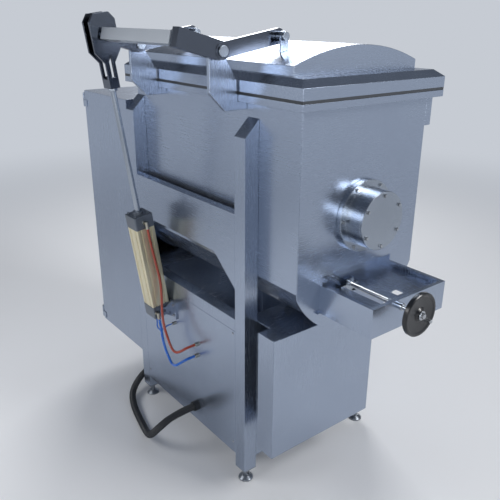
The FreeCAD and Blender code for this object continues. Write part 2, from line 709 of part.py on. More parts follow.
def discharge_housing():
    flange = rod_x(0, FLANGE_THICKNESS, MID_Y, SHAFT_HEIGHT, FLANGE_RADIUS)
    barrel = rod_x(0, BEARING_REACH - COVER_THICKNESS, MID_Y, SHAFT_HEIGHT, BARREL_RADIUS)
    bore = rod_x(-1, BEARING_REACH, MID_Y, SHAFT_HEIGHT, BEARING_RADIUS)
    return join([flange, barrel]).cut(bore)


def bearing_ring(x0, x1):
    ring = rod_x(x0, x1, MID_Y, SHAFT_HEIGHT, BEARING_RADIUS)
    return ring.cut(rod_x(x0 - 1, x1 + 1, MID_Y, SHAFT_HEIGHT, SHAFT_RADIUS + RUNNING_GAP))


def bearings():
    x_flange = -TROUGH_LENGTH - FLANGE_THICKNESS
    return group([bearing_ring(FLANGE_THICKNESS, FLANGE_THICKNESS + BEARING_DEPTH),
                  bearing_ring(x_flange, x_flange + FLANGE_THICKNESS)])


def discharge_cover():
    x0 = BEARING_REACH - COVER_THICKNESS
    disc = rod_x(x0, BEARING_REACH, MID_Y, SHAFT_HEIGHT, BARREL_RADIUS)
    edge = [e for e in disc.Edges if abs(e.BoundBox.XMin - BEARING_REACH) < 0.01 and e.BoundBox.XLength < 0.01]
    return disc.makeChamfer(COVER_CHAMFER, edge)


def drive_bearing_flange():
    x0 = -TROUGH_LENGTH - FLANGE_THICKNESS
    disc = rod_x(x0, x0 + FLANGE_THICKNESS, MID_Y, SHAFT_HEIGHT, DRIVE_FLANGE_RADIUS)
    return disc.cut(rod_x(x0 - 1, 0, MID_Y, SHAFT_HEIGHT, BEARING_RADIUS))


def bearing_bolts():
    back = -TROUGH_LENGTH - FLANGE_THICKNESS - 0.5 * DRIVE_BOLT_HEAD
    cover = ring_bolts(BEARING_REACH, 0.865 * BARREL_RADIUS, 6, BOLT_HEAD, start=30.0)
    flange = ring_bolts(FLANGE_THICKNESS, 0.5 * (BARREL_RADIUS + FLANGE_RADIUS), 6, BOLT_HEAD)
    drive = ring_bolts(back, 0.8 * DRIVE_FLANGE_RADIUS, 4, DRIVE_BOLT_HEAD, start=45.0)
    return group(cover + flange + drive)


# Agitator

def arm_angle(index):
    return 90.0 * index + 45.0


def arm_x(index):
    left = INNER_START_X + ARM_MARGIN_LEFT
    right = INNER_END_X - ARM_MARGIN_RIGHT
    return left + (right - left) * index / (ARM_COUNT - 1)


def turned(shape, index):
    shape = shape.copy()
    shape.rotate(V(0, MID_Y, SHAFT_HEIGHT), X_AXIS, arm_angle(index))
    return shape


def agitator_shaft():
    body = rod_x(SHAFT_LEFT_X, SHAFT_RIGHT_X, MID_Y, SHAFT_HEIGHT, SHAFT_RADIUS)
    return join([body] + [arm_sleeve(k) for k in range(ARM_COUNT)])


def arm_sleeve(index):
    """Thicker ring on the shaft that holds one arm."""
    x = arm_x(index)
    half = SLEEVE_LENGTH / 2
    return rod_x(x - half, x + half, MID_Y, SHAFT_HEIGHT, SHAFT_RADIUS + SLEEVE_WALL)


def blade_tip():
    return LINER_RADIUS - BLADE_GAP


def paddle_arms():
    arms = []
    for k in range(ARM_COUNT):
        top = SHAFT_HEIGHT + blade_tip() - BLADE_HEIGHT
        bar = rod_z(SHAFT_HEIGHT + SHAFT_RADIUS, top, arm_x(k), MID_Y, ARM_RADIUS)
        arms.append(turned(bar.cut(arm_sleeve(k)), k))
    return group(arms)


def paddle_blades():
    blades = []
    for k in range(ARM_COUNT):
        x = arm_x(k)
        top = SHAFT_HEIGHT + blade_tip()
        plate = box(x - BLADE_LENGTH / 2, x + BLADE_LENGTH / 2, MID_Y - BLADE_THICKNESS / 2,
                    MID_Y + BLADE_THICKNESS / 2, top - BLADE_HEIGHT, top)
        edges = [e for e in plate.Edges if e.BoundBox.XLength < 0.01 and e.BoundBox.ZLength < 0.01]
        plate = plate.makeFillet(BLADE_CORNER, edges)
        side = 1 if k % 2 == 0 else -1
        plate.rotate(V(x, MID_Y, top), Z_AXIS, side * BLADE_ANGLE)
        sweep = rod_x(x - BLADE_LENGTH, x + BLADE_LENGTH, MID_Y, SHAFT_HEIGHT, blade_tip())
        blades.append(turned(plate.common(sweep), k))
    return group(blades)


# Drive

def gear_reducer():
    x0, x1 = REDUCER_LEFT_X, REDUCER_RIGHT_X
    w = REDUCER_WIDTH / 2
    head = rod_x(x0, x1, MID_Y, SHAFT_HEIGHT, w)
    body = box(x0, x1, MID_Y - w, MID_Y + w, REDUCER_BOTTOM, SHAFT_HEIGHT)
    boss = rod_x(x0 - BOSS_REACH, x1 + BOSS_REACH, MID_Y, SHAFT_HEIGHT, SHAFT_RADIUS + BOSS_WALL)
    adaptor = rod_z(MOTOR_TOP, REDUCER_BOTTOM, MOTOR_X, MID_Y, MOTOR_RADIUS)
    reach = REDUCER_RIB_REACH
    ribs = [box(x0 - reach, x1 + reach, MID_Y + k * REDUCER_RIB - FIN_THICKNESS, MID_Y + k * REDUCER_RIB + FIN_THICKNESS,
                REDUCER_BOTTOM + 0.1 * w, SHAFT_HEIGHT - 0.57 * w) for k in (-1, 0, 1)]
    solid = join([head, body, boss, adaptor] + ribs)
    bore = rod_x(x0 - 2 * BOSS_REACH, x1 + 2 * BOSS_REACH, MID_Y, SHAFT_HEIGHT, SHAFT_RADIUS + RUNNING_GAP)
    return solid.cut(bore)


def motor():
    x = MOTOR_X
    bottom = MOTOR_TOP - MOTOR_LENGTH
    core = rod_z(bottom, MOTOR_TOP, x, MID_Y, MOTOR_RADIUS - MOTOR_CORE_DROP)
    flange = rod_z(MOTOR_TOP - MOTOR_SHIELD, MOTOR_TOP, x, MID_Y, MOTOR_RADIUS)
    shield = rod_z(bottom, bottom + MOTOR_SHIELD, x, MID_Y, MOTOR_RADIUS)
    half = FIN_THICKNESS / 2
    fins = []
    for k in range(FIN_COUNT):
        fin = box(x - MOTOR_RADIUS, x + MOTOR_RADIUS, MID_Y - half, MID_Y + half,
                  bottom + MOTOR_SHIELD, MOTOR_TOP - MOTOR_SHIELD)
        fin.rotate(V(x, MID_Y, 0), Z_AXIS, 180.0 * (k + 0.5) / FIN_COUNT)
        fins.append(fin)
    low = MOTOR_TOP - 1.6 * TERMINAL_HEIGHT
    terminal = box(x - TERMINAL_WIDTH / 2, x + TERMINAL_WIDTH / 2, MID_Y + MOTOR_RADIUS - TERMINAL_REACH / 2,
                   MID_Y + MOTOR_RADIUS + TERMINAL_REACH, low, low + TERMINAL_HEIGHT)
    return join([core, flange, shield] + fins + [terminal])


def fan_cowl():
    x = MOTOR_X
    top = MOTOR_TOP - MOTOR_LENGTH
    bottom = top - COWL_LENGTH
    cowl = rod_z(bottom, top, x, MID_Y, MOTOR_RADIUS)
    inner = rod_z(bottom + COWL_WALL / 2, top - COWL_WALL, x, MID_Y, MOTOR_RADIUS - COWL_WALL)
    half = COWL_SLOT / 2
    slots = [box(x - COWL_LENGTH, x + COWL_LENGTH, MID_Y + k * COWL_SLOT_PITCH - half,
                 MID_Y + k * COWL_SLOT_PITCH + half, bottom - 1, bottom + COWL_WALL) for k in (-2, -1, 0, 1, 2)]
    return cut(cowl, [inner] + slots)


def torque_arm():
    """Link from the reducer to a lug on the far leg."""
    x = REDUCER_RIGHT_X + 2 * TORQUE_ROD_RADIUS
    z = SHAFT_HEIGHT - TORQUE_DROP
    y0 = MID_Y + REDUCER_WIDTH / 2
    y1 = y0 + 0.75 * TORQUE_LUG
    y2 = FAR_Y + TORQUE_PLATE
    r = TORQUE_ROD_RADIUS
    half = TORQUE_LUG / 2
    lug = box(REDUCER_RIGHT_X - half, x + r, y0, y1, z - half, z + half)
    bar = rod_y(y1, y2, x, z, r)
    end = box(LEFT_LEG_FACE - TORQUE_PLATE, LEFT_LEG_FACE, y2 - r, y2 + TORQUE_LUG, z - 1.5 * half, z + 1.5 * half)
    bridge = box(x - r, LEFT_LEG_FACE - TORQUE_PLATE, y2 - r, y2 + half, z - 0.6 * half, z + 0.6 * half)
    return join([lug, bar, bridge, end])


def drive_housing():
    s = HOUSING_SHEET
    x0, x1 = HOUSING_LEFT, LEFT_LEG_FACE
    outer = box(x0, x1, -TUBE, LEG_FAR_Y, HOUSING_BOTTOM, HOUSING_TOP)
    inner = box(x0 - 1, x1 - s, -TUBE + s, LEG_FAR_Y - s, HOUSING_BOTTOM + s, HOUSING_TOP - s)
    window = box(x1 - s - 1, x1 + 1, WINDOW_NEAR_Y, LEG_FAR_Y - 2 * s, RAIL_TOP - WINDOW_DROP,
                 SHAFT_HEIGHT + WINDOW_RISE)
    return cut(outer, [inner, window])


def hinge_levels():
    return HOUSING_BOTTOM + HINGE_INSET, HOUSING_TOP - HINGE_INSET - 2 * KNUCKLE_LENGTH - 2 * DOOR_GAP


def hinge_line_y():
    return -TUBE + DOOR_GAP + LEAF_THICKNESS / 2


def knuckle(z0, length):
    return rod_z(z0, z0 + length, HINGE_LINE_X, hinge_line_y(), KNUCKLE_RADIUS)


def pin_hole():
    return rod_z(0, 2 * HOUSING_TOP, HINGE_LINE_X, hinge_line_y(), HINGE_PIN_RADIUS + RUNNING_GAP)


def housing_hinges():
    """Lower knuckles, each on a leaf that wraps the corner of the housing."""
    pieces = []
    t = LEAF_THICKNESS
    y = hinge_line_y()
    for z in hinge_levels():
        barrel = knuckle(z, KNUCKLE_LENGTH)
        leaf = box(HINGE_LINE_X, HOUSING_LEFT + LEAF_REACH, -TUBE - t, -TUBE, z, z + KNUCKLE_LENGTH)
        web = box(HINGE_LINE_X - t, HINGE_LINE_X + t, -TUBE - t, y - t / 2, z, z + KNUCKLE_LENGTH)
        pieces.append(join([barrel, leaf, web]).cut(pin_hole()))
    return group(pieces)


def hinge_pins():
    pieces = []
    t = LEAF_THICKNESS
    for z in hinge_levels():
        pin = rod_z(z, z + 2 * KNUCKLE_LENGTH + t, HINGE_LINE_X, hinge_line_y(), HINGE_PIN_RADIUS)
        head = rod_z(z - t, z, HINGE_LINE_X, hinge_line_y(), HINGE_PIN_RADIUS + t / 2)
        pieces.append(join([pin, head]))
    return group(pieces)


def drive_door():
    """Folded tray with two knuckles, each on a tab let into its near edge."""
    s = HOUSING_SHEET
    y = hinge_line_y()
    x1 = HOUSING_LEFT - DOOR_GAP
    y0, y1 = y + HINGE_INSET, LEG_FAR_Y
    z0, z1 = HOUSING_BOTTOM, HOUSING_TOP
    tray = box(x1 - DOOR_FOLD, x1, y0, y1, z0, z1)
    tray = tray.cut(box(x1 - DOOR_FOLD + s, x1 + 1, y0 + s, y1 - s, z0 + s, z1 - s))
    solids = [tray]
    for z in hinge_levels():
        z_up = z + KNUCKLE_LENGTH + DOOR_GAP
        barrel = knuckle(z_up, KNUCKLE_LENGTH)
        tab = box(HINGE_LINE_X - 2 * s, HINGE_LINE_X + 0.5 * s, y, y0 + 0.5 * s, z_up, z_up + KNUCKLE_LENGTH)
        solids.append(join([barrel, tab]).cut(pin_hole()))
    return join(solids)


def door_latch():
    """Quarter-turn latch with a wing, near the door's far edge."""
    x1 = HOUSING_LEFT - DOOR_GAP - DOOR_FOLD
    r = DOOR_FOLD
    y = LEG_FAR_Y - CABINET_BAR
    z = (HOUSING_BOTTOM + HOUSING_TOP) / 2
    body = rod_x(x1 - 0.4 * LATCH_REACH, x1, y, z, r)
    wing = box(x1 - LATCH_REACH, x1 - 0.4 * LATCH_REACH, y - 0.2 * r, y + 0.2 * r, z - 1.15 * r, z + 1.15 * r)
    return join([body, wing])


# Discharge chute, door and screw

def chute_box():
    y0, y1 = CHUTE_NEAR_Y, CHUTE_FAR_Y
    lip = SHEET + CHUTE_LIP
    outer = box(0, CHUTE_LENGTH, y0, y1, CHUTE_BOTTOM, CHUTE_TOP)
    hollow = box(-1, CHUTE_LENGTH - SHEET, y0 + SHEET, y1 - SHEET, CHUTE_BOTTOM - 1, CHUTE_TOP - SHEET)
    well = box(-1, CHUTE_LENGTH - lip, y0 + lip, y1 - lip, CHUTE_BOTTOM, CHUTE_TOP + 1)
    nose = rod_x(CHUTE_LENGTH - SHEET - 1, CHUTE_LENGTH + 1, SCREW_Y, SCREW_HEIGHT,
                 SCREW_RADIUS + BEARING_NOSE_WALL + RUNNING_GAP)
    foot_lip = box(0, CHUTE_LIP, y0 - FOOT_LIP, y0, CHUTE_BOTTOM, CHUTE_BOTTOM + SHEET)
    return join([cut(outer, [hollow, well, nose]), foot_lip])


def chute_cover():
    plate = box(0, CHUTE_LENGTH - SHEET, CHUTE_NEAR_Y + SHEET, CHUTE_FAR_Y - SHEET, COVER_TOP - SHEET, COVER_TOP)
    slot = box(-1, CHUTE_LENGTH - SHEET - BEARING_BLOCK, SCREW_Y - SLOT_WIDTH / 2, SCREW_Y + SLOT_WIDTH / 2,
               0, COVER_TOP + 1)
    sight = box(SIGHT_HOLE_X, SIGHT_HOLE_X + SIGHT_HOLE, SIGHT_HOLE_Y, SIGHT_HOLE_Y + SIGHT_HOLE, 0, COVER_TOP + 1)
    return cut(plate, [slot, sight, niche_box(SHEET)])


def screw_bearing():
    """Block on the cover behind the chute front, with a nose through the front."""
    x1 = CHUTE_LENGTH - SHEET
    x0 = x1 - BEARING_BLOCK
    half = BEARING_BLOCK_WIDTH / 2
    nose_radius = SCREW_RADIUS + BEARING_NOSE_WALL
    block = box(x0, x1, SCREW_Y - half, SCREW_Y + half, COVER_TOP, SCREW_HEIGHT + nose_radius)
    nose = rod_x(x1, CHUTE_LENGTH + BEARING_NOSE, SCREW_Y, SCREW_HEIGHT, nose_radius)
    bore = rod_x(x0 - 1, CHUTE_LENGTH + BEARING_NOSE + 1, SCREW_Y, SCREW_HEIGHT, SCREW_RADIUS + RUNNING_GAP)
    return join([block, nose]).cut(bore)


def discharge_door():
    """Plug in the port, with a stiffening rib and the bar that the nut pulls."""
    x0 = INNER_END_X - SHEET + 1.0
    x1 = x0 + DOOR_THICKNESS
    low = PORT_TOP - DOOR_BAR_HEIGHT - NUT_NECK
    half = DOOR_BAR / 2
    plug = port_outline(PORT_RADIUS - DOOR_CLEARANCE, PORT_TOP - DOOR_CLEARANCE, x0, x1)
    bar = box(x1, NUT_X + NUT_LENGTH, SCREW_Y - half, SCREW_Y + half, low, PORT_TOP - NUT_NECK)
    rib = box(x1, x1 + 2.5 * DOOR_THICKNESS, MID_Y - DOOR_RIB / 2, MID_Y + DOOR_RIB / 2, low, low + DOOR_THICKNESS)
    return join([plug, bar, rib])


def door_nut():
    """Nut block on the screw with two wings on the cover and a neck down to the door bar."""
    x0, x1 = NUT_X, NUT_X + NUT_LENGTH
    half = NUT_WIDTH / 2
    block = box(x0, x1, SCREW_Y - half, SCREW_Y + half, PORT_TOP - NUT_NECK, SCREW_HEIGHT + half - 1)
    wings = box(x0, x1, SCREW_Y - NUT_WINGS / 2, SCREW_Y + NUT_WINGS / 2, COVER_TOP + GASKET_GAP,
                COVER_TOP + WING_THICKNESS)
    bore = rod_x(x0 - 1, x1 + 1, SCREW_Y, SCREW_HEIGHT, SCREW_RADIUS + RUNNING_GAP)
    return join([block, wings]).cut(bore)


def lead_screw():
    """Screw with its journal in the niche wall, a stop behind the block and a collar before the nose."""
    play = 0.5
    body = rod_x(play - NICHE_DEPTH, play + WHEEL_X + WHEEL_THICKNESS, SCREW_Y, SCREW_HEIGHT, SCREW_RADIUS)
    journal = rod_x(play - NICHE_DEPTH - SHEET, play - NICHE_DEPTH, SCREW_Y, SCREW_HEIGHT, JOURNAL_RADIUS)
    block_face = CHUTE_LENGTH - SHEET - BEARING_BLOCK
    nose_end = CHUTE_LENGTH + BEARING_NOSE
    stop = rod_x(block_face - 0.75 * SCREW_RADIUS, block_face - play, SCREW_Y, SCREW_HEIGHT, SCREW_RADIUS + SHEET)
    collar = rod_x(nose_end + play, nose_end + SCREW_RADIUS, SCREW_Y, SCREW_HEIGHT, 1.6 * SCREW_RADIUS)
    return join([body, journal, stop, collar])


def handwheel():
    """Dished disc with a rounded rim and a hub boss, revolved about the screw."""
    r, t = WHEEL_RADIUS, WHEEL_THICKNESS
    hub = WHEEL_HUB_RADIUS
    outline = [(0, 0), (0, hub), (6, hub + 6), (8, r - 14), (2, r - 7), (2, r - 2), (5, r), (t - 3, r), (t, r - 3),
               (t, r - 8), (t - 4, r - 14), (t - 6, hub + 8), (t, hub + 2), (t, 0)]
    corners = [V(WHEEL_X + x, SCREW_Y, SCREW_HEIGHT + y) for x, y in outline]
    face = Part.Face(Part.makePolygon(corners + corners[:1]))
    disc = face.revolve(V(WHEEL_X, SCREW_Y, SCREW_HEIGHT), X_AXIS, 360)
    return cut(disc, [rod_x(WHEEL_X - 1, WHEEL_X + t + 1, SCREW_Y, SCREW_HEIGHT, SCREW_RADIUS + RUNNING_GAP),
                      grip_bar(RUNNING_GAP)])


def wheel_hub():
    """Washer and nut on the end of the screw."""
    x0 = WHEEL_X + WHEEL_THICKNESS
    step = WHEEL_NUT / 3
    washer = rod_x(x0 + 0.5, x0 + step, SCREW_Y, SCREW_HEIGHT, 2 * SCREW_RADIUS)
    nut = hex_x(x0 + step, x0 + WHEEL_NUT, SCREW_Y, SCREW_HEIGHT, 2 * SCREW_RADIUS + 1)
    return join([washer, nut])


def grip_bar(extra):
    """Short grip that passes through the web of the wheel."""
    y = SCREW_Y + 0.6 * WHEEL_RADIUS
    z = SCREW_HEIGHT - 0.45 * WHEEL_RADIUS
    return rod_x(WHEEL_X, WHEEL_X + WHEEL_THICKNESS + 0.7 * WHEEL_NUT, y, z, GRIP_RADIUS + extra)


def wheel_grip():
    return grip_bar(0)


# Lid

def pan(inset, bottom, sheet_drop):
    """Square skirt with a bevel above it, shrunk by inset on every side."""
    o = RIM_OVERHANG - inset
    z1 = LID_BOTTOM + SKIRT - 0.35 * sheet_drop
    z2 = DECK_HEIGHT - sheet_drop
    skirt = box(-TROUGH_LENGTH - o, o, -o, FAR_Y + o, bottom, z1)
    low = [V(-TROUGH_LENGTH - o, -o, z1), V(o, -o, z1), V(o, FAR_Y + o, z1), V(-TROUGH_LENGTH - o, FAR_Y + o, z1)]
    i = o - BEVEL_INSET
    top = [V(-TROUGH_LENGTH - i, -i, z2), V(i, -i, z2), V(i, FAR_Y + i, z2), V(-TROUGH_LENGTH - i, FAR_Y + i, z2)]
    bevel = Part.makeLoft([Part.makePolygon(low + low[:1]), Part.makePolygon(top + top[:1])], True, True)
    return join([skirt, bevel])


def crown(inset, bottom):
    """Arched centre with upright sides, shrunk by inset."""
    x0 = -TROUGH_LENGTH + CROWN_MARGIN + inset
    x1 = -CROWN_MARGIN - inset
    y0, y1 = CROWN_INSET + inset, FAR_Y - CROWN_INSET - inset
    side = DECK_HEIGHT + CROWN_SIDE - inset
    arch = Part.Arc(V(x0, y1, side), V(x0, MID_Y, side + CROWN_RISE), V(x0, y0, side)).toShape()
    base = Part.makePolygon([V(x0, y0, side), V(x0, y0, bottom), V(x0, y1, bottom), V(x0, y1, side)])
    face = Part.Face(Part.Wire([arch] + base.Edges))
    return face.extrude(V(x1 - x0, 0, 0))


def lid_panel():
    s = LID_SHEET
    outer = join([pan(0, LID_BOTTOM, 0), crown(0, DECK_HEIGHT - 1)])
    inner = join([pan(s, LID_BOTTOM - 1, s), crown(s, DECK_HEIGHT - s - 1)])
    return outer.cut(inner)


def lid_gasket():
    o = RIM_OVERHANG - 1.0
    z0 = RIM_TOP + GASKET_GAP
    ring = box(-TROUGH_LENGTH - o, o, -o, FAR_Y + o, z0, LID_BOTTOM)
    i = o - GASKET_WIDTH
    return ring.cut(box(-TROUGH_LENGTH - i, i, -i, FAR_Y + i, z0 - 1, LID_BOTTOM + 1))


def crown_height(y):
    half = CROWN_WIDTH / 2
    radius = (half ** 2 + CROWN_RISE ** 2) / (2 * CROWN_RISE)
    drop = radius - math.sqrt(radius ** 2 - (y - MID_Y) ** 2)
    return DECK_HEIGHT + CROWN_SIDE + CROWN_RISE - drop


def arm_end():
    return HINGE_Y + ARM_REACH, HINGE_HEIGHT + ARM_RISE


def tapered_bar(y0, z0, r0, y1, z1, r1, x0, x1):
    """Flat link with round ends of two radii."""
    a = math.atan2(z1 - z0, y1 - y0)
    n = (-math.sin(a), math.cos(a))
    web = prism_x([(y0 + r0 * n[0], z0 + r0 * n[1]), (y0 - r0 * n[0], z0 - r0 * n[1]),
                   (y1 - r1 * n[0], z1 - r1 * n[1]), (y1 + r1 * n[0], z1 + r1 * n[1])], x0, x1)
    return join([web, rod_x(x0, x1, y0, z0, r0), rod_x(x0, x1, y1, z1, r1)])


def lever(x, closed):
    """Box section, laid along -y from the hinge and then raised to its angle; a closed one has an end plate."""
    h = LEVER_HEIGHT / 2
    w = LEVER_WIDTH / 2
    y0 = HINGE_Y - LEVER_LENGTH - LEVER_TIP
    outer = box(x - w, x + w, y0, HINGE_Y, HINGE_HEIGHT - h, HINGE_HEIGHT + h)
    mouth = y0 + LEVER_WALL if closed else y0 - 1
    hollow = box(x - w + LEVER_WALL, x + w - LEVER_WALL, mouth, HINGE_Y - HUB_RADIUS - 1.5 * LEVER_WALL,
                 HINGE_HEIGHT - h + LEVER_WALL, HINGE_HEIGHT + h - LEVER_WALL)
    return outer.cut(hollow)


def shaft_slot(x0, x1):
    """Long hole in which the cross shaft travels as the lid opens."""
    y = HINGE_Y - LEVER_LENGTH
    slot = box(x0, x1, y - SLOT_HALF, y + SLOT_HALF, HINGE_HEIGHT - SLOT_HALF_HEIGHT, HINGE_HEIGHT + SLOT_HALF_HEIGHT)
    edges = [e for e in slot.Edges if e.BoundBox.YLength < 0.01 and e.BoundBox.ZLength < 0.01]
    return slot.makeFillet(SLOT_HALF_HEIGHT - 0.5, edges)


def crank(x, slot_end, closed):
    """Lid arm, hub and raised lever; the slot runs from the lever's left side to slot_end."""
    y1, z1 = arm_end()
    t = ARM_THICKNESS / 2
    raised = lever(x, closed).cut(shaft_slot(x - LEVER_WIDTH, slot_end))
    raised.rotate(V(x, HINGE_Y, HINGE_HEIGHT), X_AXIS, -math.degrees(LEVER_SLOPE))
    arm = tapered_bar(HINGE_Y, HINGE_HEIGHT, ARM_HEIGHT / 2, y1, z1, ARM_END_RADIUS, x - t, x + t)
    hub = rod_x(x - HUB_LENGTH / 2, x + HUB_LENGTH / 2, HINGE_Y, HINGE_HEIGHT, HUB_RADIUS)
    bore = rod_x(x - HUB_LENGTH, x + HUB_LENGTH, HINGE_Y, HINGE_HEIGHT, HINGE_SHAFT_RADIUS + RUNNING_GAP)
    eye = rod_x(x - HUB_LENGTH, x + HUB_LENGTH, y1, z1, ARM_PIN_RADIUS + RUNNING_GAP)
    return join([arm, hub, raised]).cut(bore).cut(eye)


def right_crank():
    return crank(RIGHT_CRANK_X, RIGHT_CRANK_X, True)


def left_crank():
    return crank(LEFT_CRANK_X, LEFT_CRANK_X + LEVER_WIDTH, False)


def lid_lugs():
    """Ears on the crown that take the arm pins."""
    y1, z1 = arm_end()
    solids = []
    for x in (RIGHT_CRANK_X, LEFT_CRANK_X):
        x0 = x + ARM_THICKNESS / 2 + BUSH_LENGTH
        ear = box(x0, x0 + EAR_THICKNESS, y1 - EAR_RADIUS, y1 + EAR_RADIUS, crown_height(y1 - EAR_RADIUS) - 2, z1)
        ear = join([ear, rod_x(x0, x0 + EAR_THICKNESS, y1, z1, EAR_RADIUS)])
        ear = ear.cut(rod_x(x, x0 + EAR_THICKNESS + 1, y1, z1, ARM_PIN_RADIUS + RUNNING_GAP))
        solids.append(ear.cut(crown(0, DECK_HEIGHT - 1)))
    return group(solids)


def lid_pins():
    """Pin through each arm and ear, with a bush between them and a head at each end."""
    y1, z1 = arm_end()
    t = ARM_THICKNESS / 2
    solids = []
    for x in (RIGHT_CRANK_X, LEFT_CRANK_X):
        far = x + t + BUSH_LENGTH + EAR_THICKNESS
        pin = rod_x(x - t - PIN_HEAD, far + PIN_HEAD, y1, z1, ARM_PIN_RADIUS)
        bush = rod_x(x + t, x + t + BUSH_LENGTH, y1, z1, BUSH_RADIUS)
        head = rod_x(x - t - PIN_HEAD, x - t, y1, z1, PIN_HEAD_RADIUS)
        cap = rod_x(far, far + PIN_HEAD, y1, z1, PIN_HEAD_RADIUS)
        solids.append(join([pin, bush, head, cap]))
    return group(solids)


def hinge_bracket(x):
    """Upright plate outside the rim, welded to the side wall under the rim."""
    x1 = x - HUB_LENGTH / 2 - DOOR_GAP
    x0 = x1 - BRACKET_THICKNESS
    rim = -RIM_OVERHANG
    outer = rim - BRACKET_CLEARANCE
    outline = [(0, BRACKET_BOTTOM), (0, RIM_BOTTOM), (rim, RIM_BOTTOM), (rim, RIM_TOP - SHEET),
               (outer, RIM_TOP + LEVER_WALL), (outer, LID_BOTTOM + SKIRT), (HINGE_Y + HUB_RADIUS, HINGE_HEIGHT),
               (BRACKET_EDGE_Y, HINGE_HEIGHT), (BRACKET_EDGE_Y, BRACKET_BOTTOM + BRACKET_CORNER),
               (BRACKET_EDGE_Y + BRACKET_CORNER, BRACKET_BOTTOM)]
    plate = prism_x(outline, x0, x1)
    boss = rod_x(x0, x1, HINGE_Y, HINGE_HEIGHT, HUB_RADIUS + 1)
    bore = rod_x(x0 - 1, x1 + 1, HINGE_Y, HINGE_HEIGHT, HINGE_SHAFT_RADIUS)
    return join([plate, boss]).cut(bore)


def hinge_brackets():
    return group([hinge_bracket(x) for x in (RIGHT_CRANK_X, LEFT_CRANK_X)])


def hinge_shafts():
    solids = []
    for x in (RIGHT_CRANK_X, LEFT_CRANK_X):
        x1 = x + HUB_LENGTH / 2 + DOOR_GAP
        x0 = x - HUB_LENGTH / 2 - DOOR_GAP - BRACKET_THICKNESS
        pin = rod_x(x0 - HINGE_END, x1 + HINGE_END, HINGE_Y, HINGE_HEIGHT, HINGE_SHAFT_RADIUS)
        nut = hex_x(x0 - HINGE_END, x0, HINGE_Y, HINGE_HEIGHT, HINGE_NUT)
        washer = rod_x(x1, x1 + HINGE_END, HINGE_Y, HINGE_HEIGHT, HINGE_SHAFT_RADIUS + HINGE_END)
        solids.append(join([pin, nut, washer]))
    return group(solids)


# Lid cylinder, laid upright over its pivot and then leaned outwards

def lean(shape):
    shape = shape.copy()
    shape.rotate(V(LEFT_CRANK_X, PIVOT_Y, PIVOT_HEIGHT), X_AXIS, LEAN)
    return shape


def cyl_box(half_x, half_y, z0, z1):
    return box(LEFT_CRANK_X - half_x, LEFT_CRANK_X + half_x, PIVOT_Y - half_y, PIVOT_Y + half_y,
               PIVOT_HEIGHT + z0, PIVOT_HEIGHT + z1)


def cyl_rod(z0, z1, r):
    return rod_z(PIVOT_HEIGHT + z0, PIVOT_HEIGHT + z1, LEFT_CRANK_X, PIVOT_Y, r)


def vertical_edges(shape):
    return [e for e in shape.Edges if e.BoundBox.XLength < 0.01 and e.BoundBox.YLength < 0.01]


def barrel_levels():
    z0 = CAP_LENGTH / 2
    return z0, z0 + BARREL_LENGTH


def cylinder_barrel():
    """Square extrusion with two grooves in each face and a round bore."""
    z0, z1 = barrel_levels()
    w = CYLINDER_WIDTH / 2 - 1.5
    body = cyl_box(w, w, z0, z1)
    body = body.makeFillet(GROOVE_DEPTH, vertical_edges(body))
    groove, depth = GROOVE_HALF, GROOVE_DEPTH
    low, high = PIVOT_HEIGHT + z0 - 1, PIVOT_HEIGHT + z1 + 1
    tools = [cyl_rod(z0 - 1, z1 + 1, PISTON_RADIUS + 0.5)]
    for side in (-1, 1):
        x = LEFT_CRANK_X + side * GROOVE_OFFSET
        y = PIVOT_Y + side * GROOVE_OFFSET
        for face in (-1, 1):
            y_face = PIVOT_Y + face * w
            x_face = LEFT_CRANK_X + face * w
            tools.append(box(x - groove, x + groove, y_face - depth, y_face + depth, low, high))
            tools.append(box(x_face - depth, x_face + depth, y - groove, y + groove, low, high))
    return lean(cut(body, tools))


def cylinder_caps():
    w = CYLINDER_WIDTH / 2
    z0, z1 = barrel_levels()
    top = z1 + CAP_LENGTH
    reach = w + CHEEK_GAP + CHEEK
    rear = cyl_box(w, w, -CAP_LENGTH / 2, z0)
    rear = rear.makeFillet(CAP_CORNER, vertical_edges(rear))
    pins = rod_x(LEFT_CRANK_X - reach, LEFT_CRANK_X + reach, PIVOT_Y, PIVOT_HEIGHT, TRUNNION_RADIUS)
    rear = join([rear, pins])
    head = cyl_box(w, w, z1, top)
    head = head.makeFillet(CAP_CORNER, vertical_edges(head))
    gland = cyl_rod(top, top + ROD_GLAND_LENGTH, ROD_GLAND_RADIUS)
    bore = cyl_rod(z1 - 1, top + ROD_GLAND_LENGTH + 1, ROD_RADIUS + RUNNING_GAP)
    return group([lean(rear), lean(join([head, gland]).cut(bore))])


def cap_screws():
    z0 = PIVOT_HEIGHT + barrel_levels()[1] + CAP_LENGTH
    w = CYLINDER_WIDTH / 2 - CAP_SCREW_INSET
    heads = []
    for sx in (-w, w):
        for sy in (-w, w):
            heads.append(lean(rod_z(z0, z0 + CAP_SCREW_HEIGHT, LEFT_CRANK_X + sx, PIVOT_Y + sy, CAP_SCREW_RADIUS)))
    return group(heads)


def hose_fitting(y, z):
    """Hexagon against the cap, a neck, and an upright body with the hose socket at its lower end."""
    x = LEFT_CRANK_X + CYLINDER_WIDTH / 2
    hexagon = hex_x(x, x + CAP_SCREW_HEIGHT, y, z, FITTING_HEX)
    neck = rod_x(x + FITTING_NECK_RADIUS, x + FITTING_REACH, y, z, FITTING_NECK_RADIUS)
    body = rod_z(z - FITTING_DROP, z + 1.2 * FITTING_RADIUS, x + FITTING_REACH, y, FITTING_RADIUS)
    return join([hexagon, neck, body])


def head_fitting_z():
    return PIVOT_HEIGHT + barrel_levels()[1] + 0.45 * CAP_LENGTH


